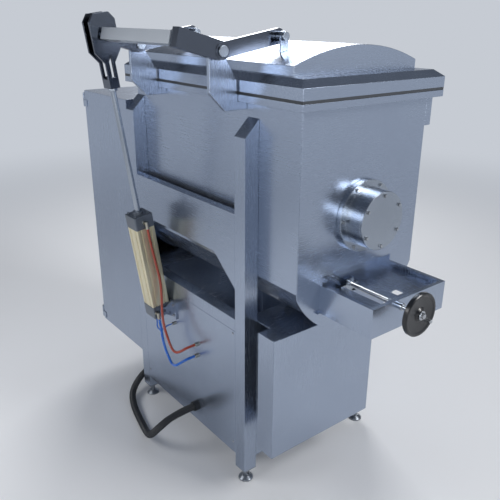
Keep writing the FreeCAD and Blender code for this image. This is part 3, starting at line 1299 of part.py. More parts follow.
def flow_control_place():
    return LEFT_CRANK_X + TRUNNION_RADIUS, PIVOT_Y - 2 * TRUNNION_RADIUS, PIVOT_HEIGHT - CAP_LENGTH / 2 - UNION_LENGTH


def cylinder_fittings():
    """One fitting at the head, one at the foot, and a flow control under the foot."""
    x, y, z = flow_control_place()
    flow_control = rod_z(z, z + UNION_LENGTH, x, y, SMALL_UNION_RADIUS)
    return group([lean(hose_fitting(PIVOT_Y, head_fitting_z())),
                  lean(hose_fitting(PIVOT_Y - BANJO_OFFSET, PIVOT_HEIGHT)), lean(flow_control)])


def cylinder_bracket():
    """Two cheeks on feet screwed to the panel, with a bore each for the trunnion."""
    w = CYLINDER_WIDTH / 2 + CHEEK_GAP
    face = -TUBE
    low, high = PIVOT_HEIGHT - CHEEK_HALF, PIVOT_HEIGHT + CHEEK_HALF
    eye_y = PIVOT_Y + CHEEK_EYE / 2
    solids = []
    for side in (-1, 1):
        x_in = LEFT_CRANK_X + side * w
        x_out = x_in + side * CHEEK
        x0, x1 = min(x_in, x_out), max(x_in, x_out)
        plate = prism_x([(face, low), (face, high), (eye_y, PIVOT_HEIGHT + CHEEK_EYE - 2),
                         (eye_y, PIVOT_HEIGHT - CHEEK_EYE + 2)], x0, x1)
        plate = join([plate, rod_x(x0, x1, PIVOT_Y, PIVOT_HEIGHT, CHEEK_EYE)])
        foot_x = x_out + side * PAD_REACH
        pad = box(min(x_in, foot_x), max(x_in, foot_x), face - PAD_THICKNESS, face, low, high)
        bore = rod_x(x0 - 1, x1 + 1, PIVOT_Y, PIVOT_HEIGHT, TRUNNION_RADIUS + RUNNING_GAP)
        solids.append(join([plate, pad]).cut(bore))
    return group(solids)


def bracket_screws():
    w = CYLINDER_WIDTH / 2 + CHEEK_GAP + CHEEK + PAD_REACH / 2
    y1 = -TUBE - PAD_THICKNESS
    heads = []
    for side in (-w, w):
        for z in (PIVOT_HEIGHT - 0.6 * CHEEK_HALF, PIVOT_HEIGHT + 0.6 * CHEEK_HALF):
            heads.append(rod_y(y1 - CAP_SCREW_HEIGHT, y1, LEFT_CRANK_X + side, z, PAD_SCREW_RADIUS))
    return group(heads)


def piston_rod():
    """Rod with its piston, the threaded tip in the fork block and the lock nut below it."""
    low = barrel_levels()[1] - PISTON_DROP
    base = STROKE_LENGTH - FORK_DROP
    rod = cyl_rod(low, base + FORK_BASE - CAP_SCREW_HEIGHT, ROD_RADIUS)
    piston = cyl_rod(low, low + PISTON_LENGTH, PISTON_RADIUS)
    nut = hex_z(PIVOT_HEIGHT + base - COLLAR_WIDTH, PIVOT_HEIGHT + base, LEFT_CRANK_X, PIVOT_Y, ROD_NUT)
    return lean(join([rod, piston, nut]))


def fork():
    """Two cheeks with clipped corners that narrow to a block on the rod."""
    top = STROKE_LENGTH
    base = top - FORK_DROP
    h, n, t = FORK_HALF, FORK_NECK_HALF, FORK_TOP_HALF
    outline = [(-t, FORK_TOP), (t, FORK_TOP), (h, FORK_TOP - 0.52 * h), (h, -1.16 * h), (n, -2 * h), (n, -FORK_DROP),
               (-n, -FORK_DROP), (-n, -2 * h), (-h, -1.16 * h), (-h, FORK_TOP - 0.52 * h)]
    points = [(PIVOT_Y + y, PIVOT_HEIGHT + top + z) for y, z in outline]
    half = FORK_GAP / 2 + FORK_CHEEK
    body = prism_x(points, LEFT_CRANK_X - half, LEFT_CRANK_X + half)
    gap = cyl_box(FORK_GAP / 2, FORK_REACH, base + FORK_BASE, top + FORK_TOP + 1)
    thread = cyl_rod(base - 1, base + FORK_BASE - CAP_SCREW_HEIGHT, ROD_RADIUS + RUNNING_GAP)
    pin = rod_x(LEFT_CRANK_X - 2 * half, LEFT_CRANK_X + 2 * half, PIVOT_Y, PIVOT_HEIGHT + top,
                CROSS_SHAFT_RADIUS + RUNNING_GAP)
    window = cyl_box(2 * half, 0.37 * n, top - 3 * h, top - 1.4 * h)
    return lean(cut(body, [gap, thread, pin, window]))


def cross_shaft():
    """Bar through the fork and the left lever, with a square tube round it up to the right lever."""
    y, z = PIVOT_Y, PIVOT_HEIGHT + STROKE_LENGTH
    half = FORK_GAP / 2 + FORK_CHEEK + COLLAR_WIDTH
    lever_face = RIGHT_CRANK_X - LEVER_WIDTH / 2
    bar = rod_x(LEFT_CRANK_X - half, lever_face + 3 * LEVER_WALL, y, z, CROSS_SHAFT_RADIUS)
    w = TIE_TUBE / 2
    tube = box(LEFT_CRANK_X + half, lever_face - CHEEK_GAP, y - w, y + w, z - w, z + w)
    tube.rotate(V(0, y, z), X_AXIS, -LEAN - math.degrees(LEVER_SLOPE))
    return lean(join([tube, bar]))


def shaft_collars():
    half = FORK_GAP / 2 + FORK_CHEEK
    y, z = PIVOT_Y, PIVOT_HEIGHT + STROKE_LENGTH
    bore = rod_x(LEFT_CRANK_X - 3 * half, LEFT_CRANK_X + 3 * half, y, z, CROSS_SHAFT_RADIUS + RUNNING_GAP)
    left = rod_x(LEFT_CRANK_X - half - COLLAR_WIDTH, LEFT_CRANK_X - half, y, z, 2 * CROSS_SHAFT_RADIUS)
    right = rod_x(LEFT_CRANK_X + half, LEFT_CRANK_X + half + COLLAR_WIDTH, y, z, 2 * CROSS_SHAFT_RADIUS)
    return group([lean(left.cut(bore)), lean(right.cut(bore))])


# Hoses, conduit and their glands

def rounded_path(points):
    """Straight runs joined by tangent arcs, each as large as its two runs allow."""
    edges = []
    radii = []
    start = points[0]
    for before, corner, after in zip(points, points[1:], points[2:]):
        u = (before - corner).normalize()
        v = (after - corner).normalize()
        turn = math.pi - u.getAngle(v)
        reach = 0.45 * min((before - corner).Length, (after - corner).Length)
        radius = reach / math.tan(turn / 2)
        radii.append(radius)
        first = corner + u * reach
        last = corner + v * reach
        inward = (u + v).normalize()
        middle = corner + inward * (radius / math.cos(turn / 2) - radius)
        edges.append(Part.LineSegment(start, first).toShape())
        edges.append(Part.Arc(first, middle, last).toShape())
        start = last
    edges.append(Part.LineSegment(start, points[-1]).toShape())
    return Part.Wire(edges), radii


def tube_along(name, points, radius):
    path, radii = rounded_path([V(*p) for p in points])
    start = V(*points[0])
    direction = (V(*points[1]) - start).normalize()
    section = Part.Wire(Part.makeCircle(radius, start, direction))
    solid = path.makePipeShell([section], True, False)
    share = solid.Volume / (math.pi * radius ** 2 * path.Length)
    print(name, "length", round(path.Length), "volume ratio", round(share, 4), "radii", [round(r) for r in radii])
    return solid


def leaned_point(x, y, z):
    a = math.radians(LEAN)
    dy, dz = y - PIVOT_Y, z - PIVOT_HEIGHT
    return (x, PIVOT_Y + dy * math.cos(a) - dz * math.sin(a), PIVOT_HEIGHT + dy * math.sin(a) + dz * math.cos(a))


def beside_pivot(dx, y, dz):
    """A point dx and dz from the cylinder's pivot, at y."""
    return LEFT_CRANK_X + dx, y, PIVOT_HEIGHT + dz


def union_end(union, reach):
    """A point straight out of one of the hose unions."""
    return LEFT_CRANK_X + union[0], -TUBE - reach, PIVOT_HEIGHT + union[1]


def red_hose_points():
    """Down the face of the barrel from the head, then round to the panel."""
    x = LEFT_CRANK_X + CYLINDER_WIDTH / 2 + FITTING_REACH
    z = head_fitting_z() - FITTING_DROP
    drops = [leaned_point(x, PIVOT_Y, z), leaned_point(x, PIVOT_Y, z - 72),
             leaned_point(x + 4, PIVOT_Y + 4, z - 160), leaned_point(x + 5, PIVOT_Y + 8, z - 250)]
    sweep = [beside_pivot(66, -120, 86), beside_pivot(76, -128, 12), beside_pivot(94, -132, -48),
             beside_pivot(126, -134, -92), beside_pivot(162, -141, -116), beside_pivot(200, -146, -122),
             beside_pivot(226, -136, -110)]
    return drops + sweep + [union_end(RED_UNION, 4 * UNION_LENGTH), union_end(RED_UNION, UNION_LENGTH)]


def blue_hose_points():
    x = LEFT_CRANK_X + CYLINDER_WIDTH / 2 + FITTING_REACH
    y = PIVOT_Y - BANJO_OFFSET
    drops = [leaned_point(x, y, PIVOT_HEIGHT - FITTING_DROP), leaned_point(x, y, PIVOT_HEIGHT - 72)]
    sweep = [beside_pivot(62, -124, -122), beside_pivot(80, -124, -164), beside_pivot(116, -128, -192),
             beside_pivot(156, -138, -200), beside_pivot(194, -144, -190), beside_pivot(222, -134, -166)]
    return drops + sweep + [union_end(BLUE_UNION, 4 * UNION_LENGTH), union_end(BLUE_UNION, UNION_LENGTH)]


def short_hose_points():
    x, y, z = flow_control_place()
    drops = [leaned_point(x, y, z), leaned_point(x, y, z - 22)]
    sweep = [beside_pivot(14, -122, -86), beside_pivot(33, -120, -96), beside_pivot(51, -113, -88)]
    return drops + sweep + [union_end(SHORT_UNION, 38), union_end(SHORT_UNION, UNION_LENGTH)]


def conduit_points():
    """Out of the panel, down to the floor and round behind the left leg to the drive housing."""
    lying = CONDUIT_RADIUS + 1
    x, g = LEFT_LEG_X, HOUSING_GLAND_X
    return [(CONDUIT_X, -TUBE - GLAND_LENGTH, CONDUIT_HEIGHT), (CONDUIT_X, -190, CONDUIT_HEIGHT),
            (x + 427, -254, 124), (x + 355, -246, 50), (x + 265, -222, lying), (x + 167, -200, lying),
            (x + 70, -178, 22), (x - 20, -138, 34), (x - 69, -72, 60), (g, -8, 98), (g, HOUSING_GLAND_Y, 160),
            (g, HOUSING_GLAND_Y, HOUSING_BOTTOM - GLAND_LENGTH)]


def red_hose():
    return tube_along("red_hose", red_hose_points(), HOSE_RADIUS)


def blue_hose():
    return tube_along("blue_hose", blue_hose_points(), HOSE_RADIUS)


def short_hose():
    return tube_along("short_hose", short_hose_points(), SMALL_HOSE_RADIUS)


def conduit():
    return tube_along("conduit", conduit_points(), CONDUIT_RADIUS)


def panel_unions():
    """Push-in bulkhead fittings for the three hoses."""
    solids = []
    for union, r in ((RED_UNION, UNION_RADIUS), (BLUE_UNION, UNION_RADIUS), (SHORT_UNION, SMALL_UNION_RADIUS)):
        x, y, z = union_end(union, UNION_LENGTH)
        solids.append(rod_y(y, -TUBE, x, z, r))
    return group(solids)


def conduit_glands():
    r = CONDUIT_RADIUS
    wall_gland = rod_y(-TUBE - GLAND_LENGTH, -TUBE, CONDUIT_X, CONDUIT_HEIGHT, r + GLAND_WALL)
    nose = rod_y(-TUBE, -TUBE + SHEET, CONDUIT_X, CONDUIT_HEIGHT, r + 1)
    floor_gland = rod_z(HOUSING_BOTTOM - GLAND_LENGTH, HOUSING_BOTTOM, HOUSING_GLAND_X, HOUSING_GLAND_Y,
                        r + GLAND_WALL)
    return group([join([wall_gland, nose]), floor_gland])


def mains_gland_x():
    return CABINET_BACK_X + CABINET_DEPTH / 2


def mains_gland():
    x = mains_gland_x()
    z = CABINET_BOTTOM
    shoulder = z - 0.8 * GLAND_THREAD
    low = shoulder - 2 * MAINS_BORE
    body = hex_z(shoulder, z, x, MAINS_Y, 2.4 * GLAND_THREAD)
    dome = rod_z(low, shoulder, x, MAINS_Y, GLAND_THREAD + 1)
    neck = rod_z(z, z + CABINET_SHEET, x, MAINS_Y, GLAND_THREAD)
    bore = rod_z(low - 1, z + CABINET_SHEET + 1, x, MAINS_Y, MAINS_BORE)
    return join([body, dome, neck]).cut(bore)


def listed(*makers):
    """One node that holds what several functions make."""
    return lambda: group([solid for make in makers for solid in make().Solids])


PIECES = {
    "legs": legs, "levelling_feet": levelling_feet, "base_rails": listed(long_rails, cross_rails),
    "base_panels": listed(side_panels, end_panels), "panel_screws": listed(panel_screws, bracket_screws),
    "deck_plates": deck_plates, "aprons": aprons, "control_cabinet": control_cabinet,
    "cabinet_cover": cabinet_cover, "cabinet_brackets": cabinet_brackets,
    "discharge_end_wall": discharge_end_wall, "port_frame": port_frame, "drive_end_wall": drive_end_wall,
    "trough_jacket": jacket, "trough_liner": listed(liner, liner_ends), "shaft_seals": shaft_seals,
    "trough_rim": listed(trough_rim, rear_stiffener), "discharge_housing": discharge_housing,
    "bearings": bearings, "discharge_cover": discharge_cover, "drive_bearing_flange": drive_bearing_flange,
    "bearing_bolts": bearing_bolts, "agitator_shaft": listed(agitator_shaft, paddle_arms),
    "paddle_blades": paddle_blades, "gear_reducer": gear_reducer, "motor": listed(motor, fan_cowl),
    "torque_arm": torque_arm, "drive_housing": drive_housing, "housing_hinges": listed(housing_hinges, hinge_pins),
    "drive_door": listed(drive_door, door_latch), "chute_box": chute_box,
    "chute_cover": chute_cover, "screw_bearing": screw_bearing, "discharge_door": discharge_door,
    "door_nut": door_nut, "lead_screw": lead_screw, "handwheel": handwheel,
    "wheel_hub": listed(wheel_hub, wheel_grip), "lid_panel": lid_panel, "lid_gasket": lid_gasket,
    "right_crank": right_crank, "left_crank": left_crank, "cross_shaft": cross_shaft,
    "lid_lugs": lid_lugs, "lid_pins": lid_pins, "hinge_brackets": hinge_brackets, "hinge_shafts": hinge_shafts,
    "cylinder_barrel": cylinder_barrel, "cylinder_caps": listed(cylinder_caps, cap_screws),
    "cylinder_fittings": cylinder_fittings, "cylinder_bracket": cylinder_bracket, "piston_rod": piston_rod,
    "rod_fork": fork, "shaft_collars": shaft_collars, "red_hose": red_hose, "blue_hose": blue_hose,
    "short_hose": short_hose, "conduit": conduit, "panel_unions": panel_unions,
    "cable_glands": listed(conduit_glands, mains_gland),
}


def save(name, shape):
    shape = shape.copy()
    shape.translate(SHIFT)
    shape.exportStep("parts/" + name + ".step")
    solids = shape.Solids
    bad = [s for s in solids if not s.isValid()]
    print(name, len(solids), "solids", "invalid", len(bad), "volume", round(shape.Volume / 1000, 1), "cm3")


def main():
    os.makedirs("parts", exist_ok=True)
    for name, make in PIECES.items():
        save(name, make())
    print("shift", SHIFT, "lean", LEAN, "pin length", STROKE_LENGTH)


main()
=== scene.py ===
"""Meat mixer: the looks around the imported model, laid out as a Blender add-on and run as a script."""
import json
import math

import bpy
from mathutils import Matrix, Vector

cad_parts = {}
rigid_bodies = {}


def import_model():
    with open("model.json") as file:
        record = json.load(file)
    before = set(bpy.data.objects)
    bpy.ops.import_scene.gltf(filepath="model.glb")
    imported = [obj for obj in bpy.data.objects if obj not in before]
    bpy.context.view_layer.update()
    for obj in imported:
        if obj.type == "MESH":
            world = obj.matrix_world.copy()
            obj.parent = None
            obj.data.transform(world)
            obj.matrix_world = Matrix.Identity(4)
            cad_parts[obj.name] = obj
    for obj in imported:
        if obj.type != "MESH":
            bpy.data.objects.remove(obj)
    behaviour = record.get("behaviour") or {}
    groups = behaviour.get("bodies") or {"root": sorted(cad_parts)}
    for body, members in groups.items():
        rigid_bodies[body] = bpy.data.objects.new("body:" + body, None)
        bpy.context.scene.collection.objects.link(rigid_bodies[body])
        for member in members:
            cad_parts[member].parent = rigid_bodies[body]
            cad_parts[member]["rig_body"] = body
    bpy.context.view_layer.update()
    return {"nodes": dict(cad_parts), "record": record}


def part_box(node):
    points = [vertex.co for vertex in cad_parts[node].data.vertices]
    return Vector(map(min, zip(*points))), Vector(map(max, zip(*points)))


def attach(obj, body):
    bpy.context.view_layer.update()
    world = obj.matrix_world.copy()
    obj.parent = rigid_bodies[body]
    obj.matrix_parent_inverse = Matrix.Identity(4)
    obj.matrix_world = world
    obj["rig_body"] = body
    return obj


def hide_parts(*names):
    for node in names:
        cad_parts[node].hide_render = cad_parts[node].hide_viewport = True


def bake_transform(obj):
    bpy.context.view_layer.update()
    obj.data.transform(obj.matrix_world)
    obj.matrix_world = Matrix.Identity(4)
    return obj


bl_info = {
    "name": "Meat mixer",
    "version": (1, 0, 0),
    "blender": (4, 5, 0),
    "location": "View3D > Sidebar > Mixer",
    "description": "Dresses a single-shaft paddle mixer with hoses, finishes and studio",
    "category": "Add Mesh",
}

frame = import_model()
NODES = frame["nodes"]
SLOT_OF = {part["node"]: part["material_slot"] for part in frame["record"]["subparts"]}

# Where the photograph was taken from, in metres and degrees
CAMERA_PLACE = (1.93225, -1.42798, 1.80010)
CAMERA_AZIMUTH = 51.87
CAMERA_ELEVATION = 21.29
CAMERA_ROLL = 0.32
CAMERA_LENS = 43.59
CAMERA_SENSOR = 36.0
CAMERA_SHIFT = (-0.002, 0.001)

# Routes of the hoses and the conduit, in metres
RED_ROUTE = [
    (-0.1437, -0.3305, 0.9911), (-0.1437, -0.3201, 0.9198), (-0.1398, -0.3035, 0.8333), (-0.1388, -0.2866, 0.7448),
    (-0.1348, -0.2876, 0.6860), (-0.1247, -0.2956, 0.6120), (-0.1067, -0.2996, 0.5520), (-0.0747, -0.3016, 0.5080),
    (-0.0387, -0.3086, 0.4840), (-0.0008, -0.3136, 0.4780), (0.0253, -0.3036, 0.4900), (0.0362, -0.2756, 0.5050),
    (0.0362, -0.2396, 0.5050),
]
BLUE_ROUTE = [
    (-0.1437, -0.3001, 0.5739), (-0.1437, -0.2929, 0.5244), (-0.1388, -0.2916, 0.4780), (-0.1207, -0.2916, 0.4360),
    (-0.0848, -0.2956, 0.4080), (-0.0447, -0.3056, 0.4000), (-0.0067, -0.3116, 0.4100), (0.0213, -0.3016, 0.4340),
    (0.0343, -0.2756, 0.4500), (0.0343, -0.2396, 0.4500),
]
SHORT_ROUTE = [
    (-0.1908, -0.2876, 0.5575), (-0.1908, -0.2844, 0.5358), (-0.1867, -0.2896, 0.5140), (-0.1678, -0.2876, 0.5040),
    (-0.1497, -0.2806, 0.5120), (-0.1437, -0.2656, 0.5290), (-0.1437, -0.2396, 0.5290),
]
CONDUIT_ROUTE = [
    (0.0312, -0.2516, 0.2000), (0.0312, -0.3576, 0.2000), (-0.0107, -0.4216, 0.1240), (-0.0828, -0.4136, 0.0500),
    (-0.1727, -0.3896, 0.0170), (-0.2707, -0.3676, 0.0170), (-0.3678, -0.3456, 0.0220), (-0.4577, -0.3056, 0.0340),
    (-0.5068, -0.2396, 0.0600), (-0.5128, -0.1756, 0.0980), (-0.5128, -0.1376, 0.1600), (-0.5128, -0.1376, 0.2210),
]
MM = 0.001

# Free lengths of the hoses, in metres
RED_LENGTH = 0.660
BLUE_LENGTH = 0.360
SHORT_LENGTH = 0.128

# Angles in degrees: under the first, faces of a CAD mesh are one face; over the second, an edge gets a bevel;
# under the others, neighbouring faces are shaded as one
SAME_FACE_ANGLE = 0.5
BEVEL_ANGLE = 35.0
SHEET_SMOOTH_ANGLE = 50.0
HOSE_SMOOTH_ANGLE = 40.0
TURNED_SMOOTH_ANGLE = 32.0

# Corners of a CAD mesh nearer than this are one corner, in metres
MERGE_DISTANCE = 1e-6

# How many times longer than wide a scratch is drawn
SCRATCH_STRETCH = 60

# The ribbed conduit: its root's share of its radius, the cuts where the rib's slopes begin and end, as shares of its
# pitch, and the shares between which it stands proud
RIB_ROOT = 0.88
RIB_CUTS = (0.25, 0.42, 0.75, 0.92)
RIB_TOP = (0.4, 0.77)

# The door screw's thread over one pitch: steps along it, and steps out of it in thread depths
THREAD_STEPS = ((0.15, 0.0), (0.3, 1.0), (0.25, 0.0), (0.3, -1.0))

# Studio: the floor's side, and the reaches up to which it is plain and from which it is all backdrop, in metres
FLOOR_SIDE = 60.0
FLOOR_FADE = (1.6, 7.0)
# The dome: heights as the sine of the elevation, with the colours of its dim middle and its top
DOME_PALE_TO = 0.05
DOME_DIM_AT = 0.40
DOME_DIM = "#3F454F"
DOME_TOP = "#6A717D"
# Soft square lamps: name, place, target, side in metres, watts
MACHINE_MIDDLE = (0.0, 0.0, 0.9)
LAMPS = (
    ("key", (3.4, 1.7, 3.6), MACHINE_MIDDLE, 1.6, 105.0),
    ("fill", (2.9, -2.7, 1.7), MACHINE_MIDDLE, 1.1, 32.0),
    ("back", (-3.1, 2.6, 3.3), MACHINE_MIDDLE, 2.0, 110.0),
    ("pool", (-0.8, -2.2, 1.9), (-0.8, -1.7, 0.0), 1.1, 22.0),
)


def linear(hex_colour):
    """sRGB hex to the linear colour that a shader takes."""
    out = []
    for k in (1, 3, 5):
        c = int(hex_colour[k:k + 2], 16) / 255
        out.append(c / 12.92 if c <= 0.04045 else ((c + 0.055) / 1.055) ** 2.4)
    return (*out, 1.0)


def node(tree, kind, settings=None, inputs=None, links=None):
    """Adds one node, sets its properties and sockets, and links sockets from other nodes' outputs."""
    n = tree.nodes.new(kind)
    for key, value in (settings or {}).items():
        setattr(n, key, value)
    for key, value in (inputs or {}).items():
        n.inputs[key].default_value = value
    for key, source in (links or {}).items():
        tree.links.new(source, n.inputs[key])
    return n


def new_material(name):
    """A material with an empty node tree, and that tree."""
    mat = bpy.data.materials.new(name)
    mat.use_nodes = True
    tree = mat.node_tree
    tree.nodes.clear()
    return mat, tree


def finish_surface(tree, shader):
    """Gives a material's tree its output."""
    node(tree, "ShaderNodeOutputMaterial", links={"Surface": shader.outputs[0]})


def brushed_steel(name, colour, rough, rough_spread, grain_mm, along, bump=0.02, blotch=0.06, metallic=1.0):
    """Metal with long fine scratches along one axis, and slow changes of sheen and tone over the part.
    grain_mm is the spacing of the scratches. Real ones are about 0.05 mm apart, and these are drawn coarse enough
    to show."""
    mat, tree = new_material(name)
    coords = node(tree, "ShaderNodeTexCoord")
    fine = 1.0 / (grain_mm * MM)
    slow = fine / SCRATCH_STRETCH
    stretch = {"x": (slow, fine, fine), "y": (fine, slow, fine), "z": (fine, fine, slow)}[along]
    drawn_out = node(tree, "ShaderNodeMapping", inputs={"Scale": stretch}, links={"Vector": coords.outputs["Object"]})
    grain = node(tree, "ShaderNodeTexNoise", inputs={"Scale": 1.0, "Detail": 3.0, "Roughness": 0.6},
                 links={"Vector": drawn_out.outputs[0]})
    cloud = node(tree, "ShaderNodeTexNoise", inputs={"Scale": 5.0, "Detail": 3.0, "Roughness": 0.55},
                 links={"Vector": coords.outputs["Object"]})
    rough_grain = node(tree, "ShaderNodeMapRange", links={"Value": grain.outputs["Fac"]},
                       inputs={"From Min": 0.3, "From Max": 0.7,
                               "To Min": rough - rough_spread, "To Max": rough + rough_spread})
    rough_cloud = node(tree, "ShaderNodeMapRange", links={"Value": cloud.outputs["Fac"]},
                       inputs={"From Min": 0.35, "From Max": 0.65,
                               "To Min": -0.5 * rough_spread, "To Max": 0.5 * rough_spread})
    total = node(tree, "ShaderNodeMath", {"operation": "ADD", "use_clamp": True},
                 links={0: rough_grain.outputs[0], 1: rough_cloud.outputs[0]})
    tone = node(tree, "ShaderNodeMapRange", links={"Value": cloud.outputs["Fac"]},
                inputs={"From Min": 0.3, "From Max": 0.7, "To Min": 1.0 - blotch, "To Max": 1.0})
    tint = node(tree, "ShaderNodeMix", {"data_type": "RGBA", "blend_type": "MULTIPLY"},
                inputs={0: 1.0, 6: linear(colour)}, links={7: tone.outputs[0]})
    bumps = node(tree, "ShaderNodeBump", inputs={"Strength": bump, "Distance": 0.4 * MM},
                 links={"Height": grain.outputs["Fac"]})
    shader = node(tree, "ShaderNodeBsdfPrincipled", inputs={"Metallic": metallic},
                  links={"Base Color": tint.outputs[2], "Roughness": total.outputs[0], "Normal": bumps.outputs[0]})
    finish_surface(tree, shader)
    return mat


def cast_or_moulded(name, colour, rough, grain_mm, bump, metallic=0.0, coat=0.0, spread=0.08):
    """Paint, moulding or casting: a fine orange-peel or sand texture, grain_mm across, over one colour that is
    slightly uneven in tone and gloss."""
    mat, tree = new_material(name)
    coords = node(tree, "ShaderNodeTexCoord")
    grain = node(tree, "ShaderNodeTexNoise", inputs={"Scale": 1.0 / (grain_mm * MM), "Detail": 4.0, "Roughness": 0.6},
                 links={"Vector": coords.outputs["Object"]})
    cloud = node(tree, "ShaderNodeTexNoise", inputs={"Scale": 18.0, "Detail": 3.0},
                 links={"Vector": coords.outputs["Object"]})
    tone = node(tree, "ShaderNodeMapRange", links={"Value": cloud.outputs["Fac"]},
                inputs={"From Min": 0.3, "From Max": 0.7, "To Min": 1.0 - spread, "To Max": 1.0})
    tint = node(tree, "ShaderNodeMix", {"data_type": "RGBA", "blend_type": "MULTIPLY"},
                inputs={0: 1.0, 6: linear(colour)}, links={7: tone.outputs[0]})
    sheen = node(tree, "ShaderNodeMapRange", links={"Value": cloud.outputs["Fac"]},
                 inputs={"From Min": 0.3, "From Max": 0.7, "To Min": rough - 0.06, "To Max": rough + 0.06})
    bumps = node(tree, "ShaderNodeBump", inputs={"Strength": bump, "Distance": 0.5 * MM},
                 links={"Height": grain.outputs["Fac"]})
    shader = node(tree, "ShaderNodeBsdfPrincipled", inputs={"Metallic": metallic, "Coat Weight": coat},
                  links={"Base Color": tint.outputs[2], "Roughness": sheen.outputs[0], "Normal": bumps.outputs[0]})
    finish_surface(tree, shader)
    return mat


def make_materials(sizes):
    """One finish for each slot of the record, and a few more for single nodes."""
    # ground sheet reflects the room softly, so it reads as bands of pale and dark blue-grey with faint scratches
    sheet = dict(colour=sizes.steel_colour, rough=0.26, rough_spread=0.02, grain_mm=1.0, bump=0.0015, blotch=0.03,
                 metallic=0.9)
    return {
        "stainless": brushed_steel("satin stainless sheet, upright grain", along="z", **sheet),
        "stainless_long": brushed_steel("satin stainless sheet, lengthwise grain", along="x", **sheet),
        "stainless_cross": brushed_steel("satin stainless sheet, crosswise grain", along="y", **sheet),
        # turned faces keep tool marks, so their shine is streaky and a little brighter than the sheet's
        "machined_steel": brushed_steel("turned stainless steel", "#A9B1BC", 0.26, 0.05, 0.8, "x"),
        # drawn tube is pale and even, and stands out against the dark levers
        "bright_tube": brushed_steel("bright drawn square tube", "#C9CFD6", 0.42, 0.04, 1.0, "x", metallic=0.75),
        # blades worn by meat: softer and paler than the sheet
        "paddle_steel": brushed_steel("satin paddle steel", "#AEB4BC", 0.3, 0.06, 1.0, "z"),
        # oiled dark steel: near black, with a sharp glint on the fork and the levers
        "dark_steel": brushed_steel("dark machined steel", "#5F6570", 0.2, 0.04, 1.0, "y", bump=0.006),
        # zinc plating: small bright points
        "screws": brushed_steel("bright zinc-plated screws", "#B4B8BD", 0.22, 0.04, 0.8, "x"),
        # turned bar, dulled by washing down: an even grey with little glint
        "feet": brushed_steel("turned foot steel", "#8E949C", 0.34, 0.05, 1.0, "z"),
        # thermoset moulding: almost black, with a broad weak gloss from its polished mould
        "grey_wheel": cast_or_moulded("moulded phenolic handwheel", "#14161A", 0.30, 2.0, 0.05, coat=0.25),
        # ground race: the clearest mirror on the machine
        "bearing_steel": brushed_steel("ground bearing steel", "#B9BCC2", 0.18, 0.03, 0.6, "x"),
        # rubber: no shine, light grey
        "seal": cast_or_moulded("pale food-grade rubber", "#C9CBC8", 0.6, 1.5, 0.1),
        # lid seal: a real seal whose dark grey is painted shade, drawing the shaded gap between rim and lid as a thin
        # dark matt line
        "lid_seal_gap_shade": cast_or_moulded("lid seal, dark grey as painted gap shade", "#3B3F45", 0.55, 1.5, 0.08),
        # sprayed enamel on rough castings: blue-grey, with sand texture under a dull gloss
        "gear_paint": cast_or_moulded("painted cast gear case", "#52606F", 0.4, 2.5, 0.25),
        "motor_paint": cast_or_moulded("painted motor casting", "#4C5A6C", 0.42, 2.5, 0.25),
        # anodising over drawn aluminium: pale straw yellow with a soft metal sheen along the barrel
        "gold_anodised": brushed_steel("pale gold anodised extrusion", "#E6DDBE", 0.38, 0.05, 1.0, "z", blotch=0.08,
                                       metallic=0.7),
        # metallic paint on the cylinder's caps: mid grey, between paint and metal
        "grey_caps": cast_or_moulded("painted aluminium caps", "#6E757F", 0.38, 2.0, 0.15, metallic=0.6),
        # nickel plating: a warm bright metal
        "nickel": brushed_steel("nickel-plated brass fittings", "#B7B4A8", 0.2, 0.04, 0.8, "z"),
        # extruded polyurethane: strong even colour, smooth and slightly waxy
        "red_tube": cast_or_moulded("red polyurethane tube", sizes.red_hose_colour, 0.3, 3.0, 0.03, coat=0.2),
        "blue_tube": cast_or_moulded("blue polyurethane tube", sizes.blue_hose_colour, 0.28, 3.0, 0.03, coat=0.2),
        # nylon: off-black and satin, with soft highlights on every rib of the conduit and on the glands
        "black_conduit": cast_or_moulded("black ribbed nylon conduit", "#23262B", 0.42, 1.5, 0.06),
        "black_plastic": cast_or_moulded("black moulded nylon", "#1E2024", 0.4, 1.5, 0.1),
    }


# Sheets whose grain runs lengthwise or crosswise, and nodes with a finish of their own
LENGTHWISE = {"trough_jacket", "aprons", "chute_cover", "port_frame", "trough_liner"}
CROSSWISE = {"discharge_end_wall", "drive_end_wall", "lid_panel", "trough_rim", "base_panels", "deck_plates"}
# the lid gasket's own finish is a dark grey that paints the shade in the gap between rim and lid
OWN_FINISH = {"lid_gasket": "lid_seal_gap_shade", "cross_shaft": "bright_tube"}
MATERIALS = {}


def finish_for(node_name):
    """The material of a CAD node: its own where it has one, else the grain of its sheet, else its slot's."""
    if node_name in OWN_FINISH:
        return MATERIALS[OWN_FINISH[node_name]]
    if node_name in LENGTHWISE:
        return MATERIALS["stainless_long"]
    if node_name in CROSSWISE:
        return MATERIALS["stainless_cross"]
    return MATERIALS[SLOT_OF[node_name]]


def set_material(obj, mat):
    """Puts one material in every slot of an object."""
    if not obj.material_slots:
        obj.data.materials.append(mat)
    for s in obj.material_slots:
        s.material = mat


def deselect():
    """Leaves edit mode and selects nothing."""
    if bpy.context.mode != "OBJECT":
        bpy.ops.object.mode_set(mode="OBJECT")
    bpy.ops.object.select_all(action="DESELECT")


def activate(obj):
    """Selects one object alone and makes it the active one."""
    deselect()
    obj.select_set(True)
    bpy.context.view_layer.objects.active = obj


def apply_all(obj):
    """Applies all modifiers of an object, in their order."""
    activate(obj)
    for m in list(obj.modifiers):
        bpy.ops.object.modifier_apply(modifier=m.name)


def route_curve(name, route):
    """A bare curve along a route: one NURBS spline of order three that reaches its end points."""
    data = bpy.data.curves.new(name, "CURVE")
    data.dimensions = "3D"
    spline = data.splines.new("NURBS")
    spline.points.add(len(route) - 1)
    for point, place in zip(spline.points, route):
        point.co = (*place, 1.0)
    spline.order_u = 3
    spline.use_endpoint_u = True
    data.resolution_u = 12
    obj = bpy.data.objects.new(name, data)
    bpy.context.collection.objects.link(obj)
    return obj


